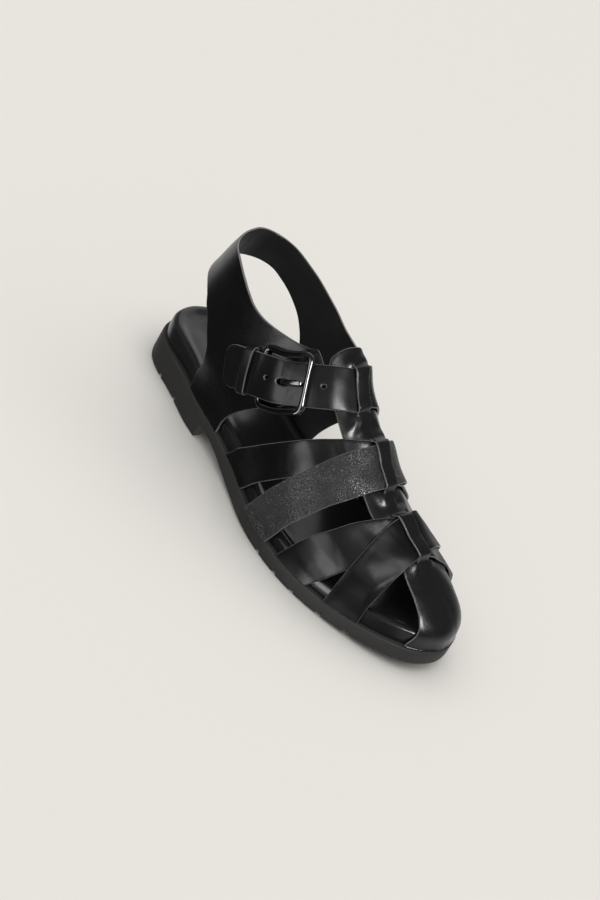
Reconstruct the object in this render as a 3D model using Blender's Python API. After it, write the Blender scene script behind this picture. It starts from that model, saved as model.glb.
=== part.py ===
"""Fisherman sandal, right shoe: outsole, footbed, strap upper, closure strap, buckle, prong and keeper.

Lengths in the tables are millimetres; the meshes are in metres.
Working axes: x lateral, y forward from the heel, z up from the ground.
The finished shoe is moved so that its origin is the centre of its footprint.
"""
import math

import bmesh
import bpy
from mathutils import Vector
from mathutils.geometry import delaunay_2d_cdt
import numpy as np

# ---------------------------------------------------------------- sizes, mm
# Sole outline, a row per station: y from the heel, lateral x, medial x.
OUTLINE = (
    (-0.2, 5.6, -19.2),
    (4.0, 11.7, -25.2),
    (10.0, 16.6, -30.2),
    (20.0, 20.3, -33.9),
    (38.0, 23.6, -34.3),
    (60.0, 29.2, -30.8),
    (85.0, 32.2, -25.6),
    (110.0, 36.8, -24.2),
    (140.0, 45.2, -31.0),
    (168.0, 48.2, -39.2),
    (190.0, 46.3, -42.0),
    (215.0, 38.9, -40.2),
    (237.0, 28.8, -34.7),
    (250.0, 20.2, -27.2),
    (258.0, 11.4, -17.6),
)
HEEL_POINT = (-7.0, -2.9)
TOE_POINT = (-3.5, 262.0)

HEEL_SOLE = 17.9          # outsole height at the heel seat
FORE_SOLE = 9.8           # outsole height under the ball
TOE_SPRING = 6.5
SPRING_FROM = 185.0
FEATHER_INSET = 2.7       # strap inner face, in from the sole edge
FEATHER_GAP = 0.3

# Last sections ahead of the ankle: y, ridge z, then for the lateral and the
# medial half: belly bulge past the feather, belly height, fullness at the ridge, rise from the belly.
SECTIONS = (
    (106.0, 107.5, -0.3, 22.0, 0.50, 0.60, 7.0, 36.0, 0.34, 0.40),
    (120.0, 98.0, 0.0, 18.0, 0.50, 0.60, 5.0, 30.0, 0.32, 0.36),
    (135.0, 87.5, 0.0, 13.0, 0.52, 0.60, 3.0, 24.0, 0.28, 0.30),
    (155.0, 75.5, 0.0, 10.0, 0.55, 0.60, 1.0, 16.0, 0.22, 0.24),
    (175.0, 65.0, 0.0, 9.5, 0.57, 0.60, 0.2, 11.0, 0.20, 0.22),
    (195.0, 56.0, 0.0, 9.5, 0.60, 0.60, 0.0, 9.5, 0.24, 0.26),
    (215.0, 48.5, 0.0, 9.5, 0.61, 0.60, 0.0, 9.5, 0.32, 0.34),
    (225.0, 44.5, 0.0, 9.5, 0.62, 0.60, 0.0, 9.5, 0.38, 0.40),
)
RIDGE_X = -5.0
ANKLE_Y = 106.0
TOE_Y = 225.0
TOE_SLOPE = 0.45          # fall of the ridge ahead of TOE_Y

# Ankle sections, a row per fan angle about the instep point: angle, lateral x, medial x,
# distance to the belly, distance to the back, front fullness, rise from the belly.
ANKLE = (
    (15.0, 31.5, -30.0, 72.0, 134.0, 0.42, 0.57),
    (30.0, 31.0, -31.0, 70.0, 136.0, 0.36, 0.56),
    (45.0, 30.0, -30.5, 68.0, 136.0, 0.33, 0.55),
    (60.0, 28.6, -29.5, 62.0, 118.0, 0.30, 0.55),
    (75.0, 26.6, -27.5, 57.0, 98.5, 0.28, 0.55),
    (90.0, 25.0, -25.5, 55.0, 87.5, 0.26, 0.55),
)
BACK_X = -5.0


def smooth(t):
    t = np.clip(t, 0.0, 1.0)
    return t * t * (3.0 - 2.0 * t)


def hermite(xs, ys, x):
    """Smooth curve through a table, without overshoot."""
    xs = np.asarray(xs, float)
    ys = np.asarray(ys, float)
    x = np.atleast_1d(np.asarray(x, float))
    h = np.diff(xs)
    d = np.diff(ys) / h
    m = np.empty(len(xs))
    m[0] = d[0]
    m[-1] = d[-1]
    for i in range(1, len(xs) - 1):
        if d[i - 1] * d[i] <= 0.0:
            m[i] = 0.0
        else:
            w1 = 2.0 * h[i] + h[i - 1]
            w2 = h[i] + 2.0 * h[i - 1]
            m[i] = (w1 + w2) / (w1 / d[i - 1] + w2 / d[i])
    k = np.clip(np.searchsorted(xs, x) - 1, 0, len(h) - 1)
    t = (x - xs[k]) / h[k]
    inside = ((2 * t**3 - 3 * t**2 + 1) * ys[k] + (t**3 - 2 * t**2 + t) * h[k] * m[k]
              + (3 * t**2 - 2 * t**3) * ys[k + 1] + (t**3 - t**2) * h[k] * m[k + 1])
    low = ys[0] + (x - xs[0]) * m[0]
    high = ys[-1] + (x - xs[-1]) * m[-1]
    return np.where(x < xs[0], low, np.where(x > xs[-1], high, inside))


def closed_spline(points, count):
    """Even samples of a closed centripetal Catmull-Rom curve."""
    p = np.asarray(points, float)
    n = len(p)
    out = []
    for i in range(n):
        p0, p1, p2, p3 = p[i - 1], p[i], p[(i + 1) % n], p[(i + 2) % n]
        t0 = 0.0
        t1 = t0 + np.linalg.norm(p1 - p0) ** 0.5
        t2 = t1 + np.linalg.norm(p2 - p1) ** 0.5
        t3 = t2 + np.linalg.norm(p3 - p2) ** 0.5
        t = np.linspace(t1, t2, 24, endpoint=False)[:, None]
        a1 = (t1 - t) / (t1 - t0) * p0 + (t - t0) / (t1 - t0) * p1
        a2 = (t2 - t) / (t2 - t1) * p1 + (t - t1) / (t2 - t1) * p2
        a3 = (t3 - t) / (t3 - t2) * p2 + (t - t2) / (t3 - t2) * p3
        b1 = (t2 - t) / (t2 - t0) * a1 + (t - t0) / (t2 - t0) * a2
        b2 = (t3 - t) / (t3 - t1) * a2 + (t - t1) / (t3 - t1) * a3
        out.append((t2 - t) / (t2 - t1) * b1 + (t - t1) / (t2 - t1) * b2)
    c = np.vstack(out)
    c = np.vstack([c, c[:1]])
    d = np.r_[0.0, np.cumsum(np.linalg.norm(np.diff(c, axis=0), axis=1))]
    s = np.linspace(0.0, d[-1], count, endpoint=False)
    return np.c_[np.interp(s, d, c[:, 0]), np.interp(s, d, c[:, 1])]


def sole_ring(count, inset=0.0):
    """Sole outline from the heel point round the lateral side, inset along its normal."""
    lateral = [(r[1], r[0]) for r in OUTLINE]
    medial = [(r[2], r[0]) for r in reversed(OUTLINE)]
    ring = closed_spline([HEEL_POINT] + lateral + [TOE_POINT] + medial, count)
    t = np.roll(ring, -1, axis=0) - np.roll(ring, 1, axis=0)
    t /= np.linalg.norm(t, axis=1)[:, None]
    return ring - np.c_[t[:, 1], -t[:, 0]] * inset


def top_z(y):
    """Top of the outsole along the shoe."""
    y = np.asarray(y, float)
    rise = TOE_SPRING * np.clip((y - SPRING_FROM) / (262.0 - SPRING_FROM), 0.0, None) ** 1.7
    return HEEL_SOLE + (FORE_SOLE - HEEL_SOLE) * smooth((y - 50.0) / 120.0) + rise


FEATHER = sole_ring(900, FEATHER_INSET)


def feather_x(y, side):
    """Feather line x at y on the lateral (+1) or medial (-1) side."""
    tip = int(np.argmax(FEATHER[:, 1]))
    heel = int(np.argmin(FEATHER[:, 1]))
    if side > 0:
        seg = FEATHER[heel:tip + 1] if heel < tip else np.vstack([FEATHER[heel:], FEATHER[:tip + 1]])
    else:
        seg = FEATHER[tip:] if heel < tip else FEATHER[tip:heel + 1]
        seg = seg[::-1]
    return np.interp(y, seg[:, 1], seg[:, 0])


def bezier(p0, p1, p2, p3, u):
    u = u[:, None]
    return (1 - u) ** 3 * p0 + 3 * (1 - u) ** 2 * u * p1 + 3 * (1 - u) * u * u * p2 + u ** 3 * p3


U = np.linspace(0.0, 1.0, 90)
SEC = np.array(SECTIONS)


def section_row(y):
    return [float(hermite(SEC[:, 0], SEC[:, k], y)[0]) for k in range(1, 10)]


def tuck_in(points, side):
    """Bring the lowest part of a section onto the feather line."""
    xo = feather_x(points[:, 1], side)
    g = smooth((points[:, 2] - top_z(points[:, 1]) - 6.0) / 28.0)
    points[:, 0] = xo + (points[:, 0] - xo) * g
    return points


def fore_half(y, side):
    row = section_row(y)
    zr = row[0]
    bulge, high, full, rise = row[1:5] if side > 0 else row[5:9]
    z0 = float(top_z(y)) + FEATHER_GAP
    xs = float(feather_x(y, side)) + side * bulge
    zs = z0 + high
    arc = bezier(np.array([RIDGE_X, zr]), np.array([RIDGE_X + full * (xs - RIDGE_X), zr]),
                 np.array([xs, zs + rise * (zr - zs)]), np.array([xs, zs]), U)
    wall = np.c_[np.full(20, xs), np.linspace(zs, z0, 21)[1:]]
    c = np.vstack([arc, wall])
    return tuck_in(np.c_[c[:, 0], np.full(len(c), y), c[:, 1]], side)


def ankle_rows():
    row = section_row(ANKLE_Y)
    z0 = float(top_z(ANKLE_Y)) + FEATHER_GAP
    out = {}
    for side, (bulge, high, full, rise) in ((1, row[1:5]), (-1, row[5:9])):
        x = float(feather_x(ANKLE_Y, side)) + side * bulge
        out[side] = np.array(((0.0, x, x, row[0] - z0 - high, 132.0, full, rise),) + ANKLE)
    return out


ROWS = ankle_rows()
INSTEP = np.array([RIDGE_X, ANKLE_Y, SEC[0, 1]])


def ankle_half(angle, side):
    t = ROWS[side]
    col = 1 if side > 0 else 2
    xs, ws, we, full, rise = [float(hermite(t[:, 0], t[:, k], angle)[0]) for k in (col, 3, 4, 5, 6)]
    a = np.radians(angle)
    down = np.array([0.0, -np.sin(a), -np.cos(a)])
    roundness = float(smooth(angle / 40.0))
    front = bezier(np.array([RIDGE_X, 0.0]), np.array([RIDGE_X + full * (xs - RIDGE_X), 0.0]),
                   np.array([xs, ws - rise * ws]), np.array([xs, ws]), U)
    back = bezier(np.array([xs, ws]), np.array([xs, ws + 0.62 * (we - ws)]),
                  np.array([BACK_X + 0.6 * (xs - BACK_X), we]), np.array([BACK_X, we]), U)[1:]
    back[:, 0] = xs + (back[:, 0] - xs) * roundness
    c = np.vstack([front, back])
    p = np.c_[c[:, 0], np.full(len(c), INSTEP[1]), np.full(len(c), INSTEP[2])] + c[:, 1:2] * down
    if angle < 52.0:
        p = tuck_in(p, side)
        low = p[:, 2] - top_z(p[:, 1]) - FEATHER_GAP
        k = np.argmax(low < 0.0)
        if low[k] < 0.0:
            f = low[k - 1] / (low[k - 1] - low[k])
            p = np.vstack([p[:k], p[k - 1] + f * (p[k] - p[k - 1])])
    return p


def toe_half(angle, side):
    b = np.radians(angle)
    way = np.array([side * np.cos(b), np.sin(b)])
    centre = np.array([RIDGE_X, TOE_Y])
    row = section_row(TOE_Y)
    zr = row[0]
    bulge, high, full, rise = row[1:5] if side > 0 else row[5:9]
    front = math.sin(b)
    rel = FEATHER - centre
    nxt = np.roll(rel, -1, axis=0)
    ca = rel[:, 0] * way[1] - rel[:, 1] * way[0]
    cb = nxt[:, 0] * way[1] - nxt[:, 1] * way[0]
    m = ca * cb <= 0.0
    t = ca[m] / (ca[m] - cb[m] + 1e-12)
    reach = float(((rel[m] + t[:, None] * (nxt[m] - rel[m])) @ way).max())
    z0 = float(top_z(TOE_Y + reach * way[1])) + FEATHER_GAP
    zs = z0 + high * (1.0 - 0.35 * front)
    full = full + (0.50 - full) * front
    rise = rise + (0.60 - rise) * front
    slope = TOE_SLOPE * front
    arc = bezier(np.array([0.0, zr]), np.array([full * reach, zr - slope * full * reach]),
                 np.array([reach, zs + rise * (zr - slope * full * reach - zs)]), np.array([reach, zs]), U)
    wall = np.c_[np.full(12, reach), np.linspace(zs, z0, 13)[1:]]
    c = np.vstack([arc, wall])
    return np.c_[centre[0] + c[:, 0] * way[0], centre[1] + c[:, 0] * way[1], c[:, 1]]


# The last is tabulated as half sections every STEP mm of arc: ankle fan, fore part, toe fan.
ANKLE_ANGLES = np.linspace(90.0, 0.0, 61)
FORE_YS = np.linspace(ANKLE_Y, TOE_Y, 81)
TOE_ANGLES = np.linspace(0.0, 90.0, 37)
STEP = 1.0
REACH = 170


def even(points):
    d = np.r_[0.0, np.cumsum(np.linalg.norm(np.diff(points, axis=0), axis=1))]
    r = np.arange(REACH) * STEP
    out = np.stack([np.interp(r, d, points[:, k]) for k in range(3)], axis=1)
    past = r > d[-1]
    way = points[-1] - points[-4]
    way /= np.linalg.norm(way)
    out[past] = points[-1] + (r[past] - d[-1])[:, None] * way
    return out, d[-1]


def tabulate(side):
    halves = [ankle_half(a, side) for a in ANKLE_ANGLES]
    halves += [fore_half(y, side) for y in FORE_YS[1:]]
    halves += [toe_half(a, side) for a in TOE_ANGLES[1:]]
    pairs = [even(h) for h in halves]
    return np.array([p[0] for p in pairs]), np.array([p[1] for p in pairs])


TABLE = {side: tabulate(side) for side in (1, -1)}


def station(x, y):
    """Pattern point to (row, arc) in the half-section tables."""
    x = np.abs(x)
    row_a = (90.0 - np.degrees(np.arctan2(np.maximum(ANKLE_Y - y, 0.0), np.maximum(x, 1e-6)))) / 1.5
    row_f = 60.0 + (np.clip(y, ANKLE_Y, TOE_Y) - ANKLE_Y) / (TOE_Y - ANKLE_Y) * 80.0
    row_t = 140.0 + np.degrees(np.arctan2(np.maximum(y - TOE_Y, 0.0), np.maximum(x, 1e-6))) / 2.5
    row = np.where(y < ANKLE_Y, row_a, np.where(y > TOE_Y, row_t, row_f))
    arc = np.where(y < ANKLE_Y, np.hypot(x, ANKLE_Y - y), np.where(y > TOE_Y, np.hypot(x, y - TOE_Y), x))
    return row, arc


def last_point(x, y):
    """Pattern points (x lateral, y forward, flattened on the instep) to the last, mm."""
    x = np.atleast_1d(np.asarray(x, float))
    y = np.atleast_1d(np.asarray(y, float))
    row, arc = station(x, y)
    out = np.empty((len(x), 3))
    for side in (1, -1):
        m = (x >= 0.0) if side > 0 else (x < 0.0)
        if not m.any():
            continue
        t = TABLE[side][0]
        i = np.clip(row[m].astype(int), 0, len(t) - 2)
        fi = (row[m] - i)[:, None]
        s = arc[m] / STEP
        j = np.clip(s.astype(int), 0, REACH - 2)
        fj = (s - j)[:, None]
        out[m] = ((t[i, j] * (1 - fj) + t[i, j + 1] * fj) * (1 - fi)
                  + (t[i + 1, j] * (1 - fj) + t[i + 1, j + 1] * fj) * fi)
    return out


def last_normal(x, y):
    x = np.atleast_1d(np.asarray(x, float))
    y = np.atleast_1d(np.asarray(y, float))
    e = 1.2
    dx = last_point(x + e, y) - last_point(x - e, y)
    dy = last_point(x, y + e) - last_point(x, y - e)
    n = np.cross(dx, dy)
    return n / np.linalg.norm(n, axis=1)[:, None]


def end_arc(row, side):
    ends = TABLE[side][1]
    return np.interp(row, np.arange(len(ends)), ends)


# ---------------------------------------------------------------- soles, mm
# Underside of the waist: y, height.
SHANK = (
    (74.8, 9.9), (85.0, 9.2), (93.0, 7.6), (101.0, 5.4), (108.0, 3.8),
    (116.0, 2.5), (128.0, 1.4), (140.0, 0.6), (150.0, 0.0),
)
BREAST_Y = 72.0           # front of the heel block
GROOVES = (24.6, 43.4, 160.0, 176.2, 191.0, 209.8, 226.6)
GROOVE_HALF = 1.5
GROOVE_DEPTH = 1.6
SOLE_TOP_INSET = 0.8

# Footbed rim, a row per fold: inset from the sole edge, height above the outsole.
RIM = (
    (3.2, 0.3), (3.2, 6.2), (3.8, 7.7), (4.9, 8.4), (6.3, 8.0), (7.8, 6.6), (11.0, 6.0),
)
SEAT_CUP = 1.6            # how far the heel seat is dished
HEEL_FILL = (1.3, 1.3)    # the heel end of the rim: further out, higher
TOE_EASE = 0.5            # extra inset of the rim behind the toe piece
STATIONS = 40

# ---------------------------------------------------------------- upper, mm
LEATHER = 2.0
EDGE_STEP = 5.4
MESH_STEP = 5.6

# Straps in the flattened pattern. Each row is a point (x lateral +, y forward).
# y_lat and y_med are the rear and front of the ends on the feather line.
CROSS_STRAPS = {
    "rear_strap_outer": {
        "y_lat": (100.4, 125.3), "y_med": (147.0, 169.0),
        "rear": ((96.5, 107.5), (71.5, 122.4), (46.5, 137.2), (23.5, 150.0), (8.5, 156.6),
                 (-8.0, 158.6), (-30.0, 158.0), (-52.0, 154.0)),
        "front": ((86.5, 132.8), (61.5, 147.6), (40.0, 161.0), (20.0, 173.5), (4.0, 180.6),
                  (-12.0, 182.2), (-32.0, 180.5), (-52.0, 176.0)),
    },
    "rear_strap_inner": {
        "y_lat": (137.2, 162.0), "y_med": (115.0, 138.0),
        "rear": ((78.0, 143.5), (60.5, 149.1), (44.5, 153.6), (22.5, 157.4), (4.0, 159.0),
                 (-18.0, 153.5), (-42.0, 141.0), (-66.0, 127.0)),
        "front": ((72.5, 167.0), (59.5, 171.4), (47.5, 174.4), (31.5, 178.6), (16.5, 180.8), (2.0, 181.2),
                  (-18.0, 175.5), (-42.0, 163.0), (-64.0, 149.0)),
    },
    "fore_strap_outer": {
        "y_lat": (171.4, 195.2), "y_med": (209.0, 230.0),
        "rear": ((65.5, 178.9), (46.5, 186.3), (30.5, 190.8), (11.5, 196.7), (-6.0, 200.5), (-28.0, 204.5)),
        "front": ((63.5, 201.2), (48.5, 207.2), (30.0, 213.5), (12.0, 218.6), (-6.0, 222.0), (-28.0, 225.8)),
    },
    "fore_strap_inner": {
        "y_lat": (207.4, 229.6), "y_med": (177.0, 199.0),
        "rear": ((50.5, 208.6), (40.5, 207.0), (29.5, 203.6), (13.5, 198.6), (-6.0, 194.6), (-28.0, 189.5)),
        "front": ((36.4, 228.2), (25.5, 225.8), (9.5, 221.2), (-6.0, 216.6), (-28.0, 211.0)),
    },
}

# Heel strap, from the back seam: fan angle of its lower and upper edge.
BACK_LOW = 72.0
BACK_HIGH = 86.5
LATERAL_QUARTER = {
    "top": ((8.0, 12.0), (8.0, 24.0), (10.0, 35.0), (14.6, 43.0), (19.0, 51.0), (22.2, 60.0), (23.8, 72.0),
            (24.4, 88.0), (23.6, 102.0), (22.4, 110.0), (23.4, 117.0), (30.0, 121.0), (42.0, 119.5),
            (55.0, 114.0), (66.5, 106.5), (77.5, 94.0), (88.0, 85.4), (98.0, 81.6)),
    "front_y": 83.2,
    "rear_y": 44.2,
    "rear": ((91.8, 39.8), (77.0, 39.4), (67.5, 38.2), (60.0, 35.6), (52.0, 30.6), (44.6, 23.8), (38.0, 15.5)),
}
MEDIAL_QUARTER = {
    "top": ((-7.8, 12.0), (-8.8, 25.0), (-11.2, 37.0), (-13.6, 49.0), (-16.4, 61.0), (-18.8, 74.0),
            (-21.0, 88.0), (-22.6, 99.0), (-21.0, 109.0), (-14.0, 117.0), (-2.0, 121.5), (10.0, 122.0)),
    "bottom": ((12.0, 139.0), (-4.0, 141.5), (-22.0, 137.0), (-42.0, 127.0), (-60.0, 117.0), (-78.0, 110.5)),
    "front_y": 107.0,
    "rear_y": 70.5,
    "rear": ((-92.0, 66.5), (-80.0, 64.5), (-68.0, 61.0), (-58.0, 54.5), (-49.5, 46.0), (-42.0, 34.5),
             (-37.0, 23.5), (-34.8, 13.0)),
}
T_STRAP = {
    "lateral": ((19.8, 116.0), (22.4, 126.0), (24.0, 138.0), (23.8, 160.0), (23.4, 182.0), (22.0, 200.0),
                (18.6, 216.0), (17.6, 228.0), (18.4, 240.0), (19.6, 251.0), (22.6, 258.5)),
    "toe_y_lat": 263.2,
    "toe_y_med": 263.0,
    "medial": ((-22.4, 258.0), (-20.0, 250.0), (-18.8, 240.0), (-18.0, 228.0), (-18.0, 214.0), (-18.6, 198.0),
               (-19.2, 180.0), (-19.4, 160.0), (-19.4, 138.0), (-18.0, 126.0), (-16.0, 117.0)),
    "top": ((-12.6, 113.0), (-6.0, 111.6), (2.0, 111.2), (10.0, 111.4), (16.6, 112.8)),
}

# ---------------------------------------------------------------- closure, mm
# Middle line of the closure strap in the pattern, from the throat back to the tail.
CLOSURE_LINE = ((6.8, 132.2), (14.8, 128.8), (22.8, 124.6), (35.5, 116.2), (49.0, 106.0), (53.1, 88.9), (57.4, 74.2), (63.4, 61.6))
CLOSURE_FROM = 4.6        # the strap comes out of the throat this far along the line
CLOSURE_HALF = 12.2
CLOSURE_CUP = 0.0012      # how the strap follows the foot across its width
CLOSURE_LEATHER = 2.2
TIP_RADIUS = 7.0
CLOSURE_STEP = 3.9
# Height of the strap's inner face over the last: distance along, height.
CLOSURE_RISE = (
    (0.0, 3.2), (14.0, 3.1), (20.0, 2.9), (27.0, 2.9), (33.0, 3.2), (37.0, 3.6), (40.0, 4.4), (43.0, 5.4), (47.0, 6.1),
    (52.0, 6.3), (59.5, 6.3), (62.0, 5.5), (64.0, 4.8), (70.0, 4.6), (75.0, 3.5), (85.0, 2.8),
)
PUNCH_ALONG = (19.0, 49.6)
PUNCH_RADIUS = 1.3
SLOT_ALONG = (37.4, 43.2)
SLOT_HALF = 1.9

# Buckle frame bars: distance along the strap, its skew, height over the last, its slope.
FRONT_BAR = (27.0, 0.06, 8.8, -0.06)
HEEL_BAR = (56.7, -0.19, 4.25, 0.0)
FRAME_SAG = 0.9
FRAME_HALF = 15.9
BAR_RADIUS = 1.65
FRAME_CORNER = 3.6
# Prong centre line: distance along, height.
PRONG = ((54.3, 4.1), (50.0, 4.1), (46.0, 4.0), (43.2, 4.1), (41.6, 5.0), (40.0, 6.7), (38.4, 7.9), (36.0, 8.4),
         (33.0, 8.6), (29.2, 8.6))
PRONG_HALF_WIDTH = 1.4
PRONG_HALF_THICK = 0.85
# Keeper band around the strap.
KEEPER_ALONG = 66.8
KEEPER_HALF = 2.6
KEEPER_LEATHER = 1.3
KEEPER_REACH = 13.5
KEEPER_HEIGHTS = (2.95, 8.4)

ORIGIN = (3.1, 129.55)     # centre of the footprint in working axes

MATERIALS = {
    "outsole_rubber": ((0.035, 0.033, 0.031), 0.0, 0.75),
    "footbed_leather": ((0.03, 0.03, 0.033), 0.0, 0.5),
    "upper_leather": ((0.012, 0.012, 0.013), 0.0, 0.28),
    "closure_leather": ((0.014, 0.013, 0.014), 0.0, 0.3),
    "keeper_leather": ((0.013, 0.013, 0.014), 0.0, 0.3),
    "frame_metal": ((0.05, 0.05, 0.055), 1.0, 0.25),
    "prong_metal": ((0.06, 0.06, 0.065), 1.0, 0.25),
}


def make_material(name):
    color, metallic, rough = MATERIALS[name]
    mat = bpy.data.materials.new(name)
    mat.use_nodes = True
    shader = mat.node_tree.nodes["Principled BSDF"]
    shader.inputs["Base Color"].default_value = (*color, 1.0)
    shader.inputs["Metallic"].default_value = metallic
    shader.inputs["Roughness"].default_value = rough
    mat.diffuse_color = (*color, 1.0)
    return mat


def make_object(name, verts, faces, material):
    """Mesh object from points in mm, moved to the footprint origin."""
    v = (np.asarray(verts, float) - np.array([ORIGIN[0], ORIGIN[1], 0.0])) * 0.001
    mesh = bpy.data.meshes.new(name)
    mesh.from_pydata([tuple(p) for p in v], [], [tuple(int(i) for i in f) for f in faces])
    bm = bmesh.new()
    bm.from_mesh(mesh)
    bmesh.ops.recalc_face_normals(bm, faces=bm.faces[:])
    if bm.calc_volume(signed=True) < 0.0:
        bmesh.ops.reverse_faces(bm, faces=bm.faces[:])
    bm.to_mesh(mesh)
    bm.free()
    mesh.materials.append(make_material(material))
    for poly in mesh.polygons:
        poly.use_smooth = True
    mesh.set_sharp_from_angle(angle=math.radians(40.0))
    obj = bpy.data.objects.new(name, mesh)
    bpy.context.scene.collection.objects.link(obj)
    return obj


# ---------------------------------------------------------------- soles
DENSE = sole_ring(1800)
HEEL_I = int(np.argmin(DENSE[:, 1]))
TOE_I = int(np.argmax(DENSE[:, 1]))


def sole_stations():
    """Stations from heel to toe, with pairs at the breast and the grooves."""
    y0 = DENSE[HEEL_I, 1]
    y1 = DENSE[TOE_I, 1]
    k = np.arange(1, STATIONS)
    base = (y0 + y1) / 2 - (y1 - y0) / 2 * np.cos(math.pi * k / STATIONS)
    special = [BREAST_Y, SHANK[0][0]]
    for g in GROOVES:
        special += [g - GROOVE_HALF, g - GROOVE_HALF + 0.35, g + GROOVE_HALF - 0.35, g + GROOVE_HALF]
    special = np.array(special)
    keep = [b for b in base if np.abs(special - b).min() > 1.6]
    return np.sort(np.r_[special, keep])


YS = sole_stations()


def station_ring(inset):
    """Outline points at the stations: heel, lateral side, toe, medial side back to the heel."""
    t = np.roll(DENSE, -1, axis=0) - np.roll(DENSE, 1, axis=0)
    t /= np.linalg.norm(t, axis=1)[:, None]
    n = np.c_[t[:, 1], -t[:, 0]]
    roll = np.roll(np.arange(len(DENSE)), -HEEL_I)
    toe = (TOE_I - HEEL_I) % len(DENSE)
    lat = roll[:toe + 1]
    med = np.r_[roll[toe:], roll[:1]][::-1]
    pts = []
    nor = []
    for seg, ys in ((lat, YS), (med, YS)):
        p = DENSE[seg]
        for d, src in ((pts, p), (nor, n[seg])):
            d.append(np.c_[np.interp(ys, p[:, 1], src[:, 0]), np.interp(ys, p[:, 1], src[:, 1])])
    ring = np.vstack([DENSE[HEEL_I], pts[0], DENSE[TOE_I], pts[1][::-1]])
    norm = np.vstack([[0.0, -1.0], nor[0], [0.0, 1.0], nor[1][::-1]])
    norm /= np.linalg.norm(norm, axis=1)[:, None]
    return ring - norm * inset


def bottom_z(y):
    """Tread surface: flat heel, raised waist, flat forefoot with grooves, toe spring."""
    y = np.asarray(y, float)
    s = np.array(SHANK)
    z = TOE_SPRING * np.clip((y - SPRING_FROM) / (262.0 - SPRING_FROM), 0.0, None) ** 1.7
    waist = (y > BREAST_Y + 0.5) & (y < s[-1, 0])
    z = np.where(waist, hermite(s[:, 0], s[:, 1], np.clip(y, s[0, 0], s[-1, 0])), z)
    for g in GROOVES:
        z = np.where(np.abs(y - g) < GROOVE_HALF - 0.2, z + GROOVE_DEPTH, z)
    return z


def ring_walls(rings, faces, n):
    for k in range(rings - 1):
        for i in range(n):
            j = (i + 1) % n
            faces.append((k * n + i, k * n + j, (k + 1) * n + j, (k + 1) * n + i))


def pair_cap(base, n, faces):
    """Close a heel-to-toe ring by joining its lateral and medial points station by station."""
    half = n // 2
    for i in range(half):
        a, b = base + i, base + i + 1
        c, d = base + (n - i - 1) % n, base + (n - i) % n
        loop = []
        for v in (a, b, c, d):
            if v not in loop:
                loop.append(v)
        faces.append(tuple(loop))


def make_outsole():
    verts = []
    faces = []
    rings = ((0.35, None, 0.0), (0.0, None, 0.5), (0.0, -1.6, 0.0), (SOLE_TOP_INSET, 0.0, 0.0))
    for inset, above, lift in rings:
        r = station_ring(inset)
        y = station_ring(0.0)[:, 1]
        z = bottom_z(y) + lift if above is None else top_z(y) + above
        verts += [(p[0], p[1], h) for p, h in zip(r, z)]
    n = len(station_ring(0.0))
    ring_walls(len(rings), faces, n)
    pair_cap(0, n, faces)
    pair_cap((len(rings) - 1) * n, n, faces)
    return make_object("outsole", verts, faces, "outsole_rubber")


def make_footbed():
    verts = []
    faces = []
    n = len(station_ring(0.0))
    edge = station_ring(0.0)
    inward = edge - station_ring(1.0)
    fill = (1.0 - smooth((edge[:, 1] - 12.0) / 26.0))[:, None]
    ease = TOE_EASE * smooth((edge[:, 1] - 236.0) / 18.0)[:, None]
    for inset, height in RIM:
        r = edge - inward * (inset + ease - HEEL_FILL[0] * fill * min(1.0, (12.0 - inset) / 6.0))
        z = top_z(r[:, 1]) + height + (HEEL_FILL[1] * fill[:, 0] if height > 1.0 else 0.0)
        verts += [(p[0], p[1], h) for p, h in zip(r, z)]
    ring_walls(len(RIM), faces, n)
    pair_cap(0, n, faces)
    base = (len(RIM) - 1) * n
    half = n // 2
    inner = np.array(verts[base:base + n])
    rows = []
    for i in range(half + 1):
        a = inner[i]
        b = inner[(n - i) % n]
        if i in (0, half):
            rows.append([base + i])
            continue
        row = [base + i]
        for t in (0.3, 0.7):
            p = a + (b - a) * t
            dish = SEAT_CUP * (1.0 - smooth((p[1] - 70.0) / 60.0)) * min(1.0, p[1] / 22.0)
            verts.append((p[0], p[1], p[2] - dish))
            row.append(len(verts) - 1)
        row.append(base + n - i)
        rows.append(row)
    for r0, r1 in zip(rows[:-1], rows[1:]):
        if len(r0) == 1:
            faces += [(r0[0], r1[k], r1[k + 1]) for k in range(3)]
        elif len(r1) == 1:
            faces += [(r1[0], r0[k + 1], r0[k]) for k in range(3)]
        else:
            faces += [(r0[k], r1[k], r1[k + 1], r0[k + 1]) for k in range(3)]
    return make_object("footbed", verts, faces, "footbed_leather")


# ---------------------------------------------------------------- pattern pieces
def unit(v):
    return v / np.linalg.norm(v, axis=-1, keepdims=True)


def spline(points, count):
    """Open curve through the points, `count` samples to a span."""
    p = np.asarray(points, float)
    p = np.vstack([2 * p[0] - p[1], p, 2 * p[-1] - p[-2]])
    out = []
    for i in range(1, len(p) - 2):
        t = np.linspace(0.0, 1.0, count, endpoint=False)[:, None]
        out.append(0.5 * (2 * p[i] + (p[i + 1] - p[i - 1]) * t
                          + (2 * p[i - 1] - 5 * p[i] + 4 * p[i + 1] - p[i + 2]) * t ** 2
                          + (3 * p[i] - p[i - 1] - 3 * p[i + 1] + p[i + 2]) * t ** 3))
    return np.vstack(out + [p[-2][None]])


def smooth_line(points, step):
    """Even samples, ends included, of an open curve through the points."""
    c = spline(points, 20)
    d = np.r_[0.0, np.cumsum(np.linalg.norm(np.diff(c, axis=0), axis=1))]
    count = max(2, int(round(d[-1] / step)) + 1)
    s = np.linspace(0.0, d[-1], count)
    return np.c_[np.interp(s, d, c[:, 0]), np.interp(s, d, c[:, 1])]


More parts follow.
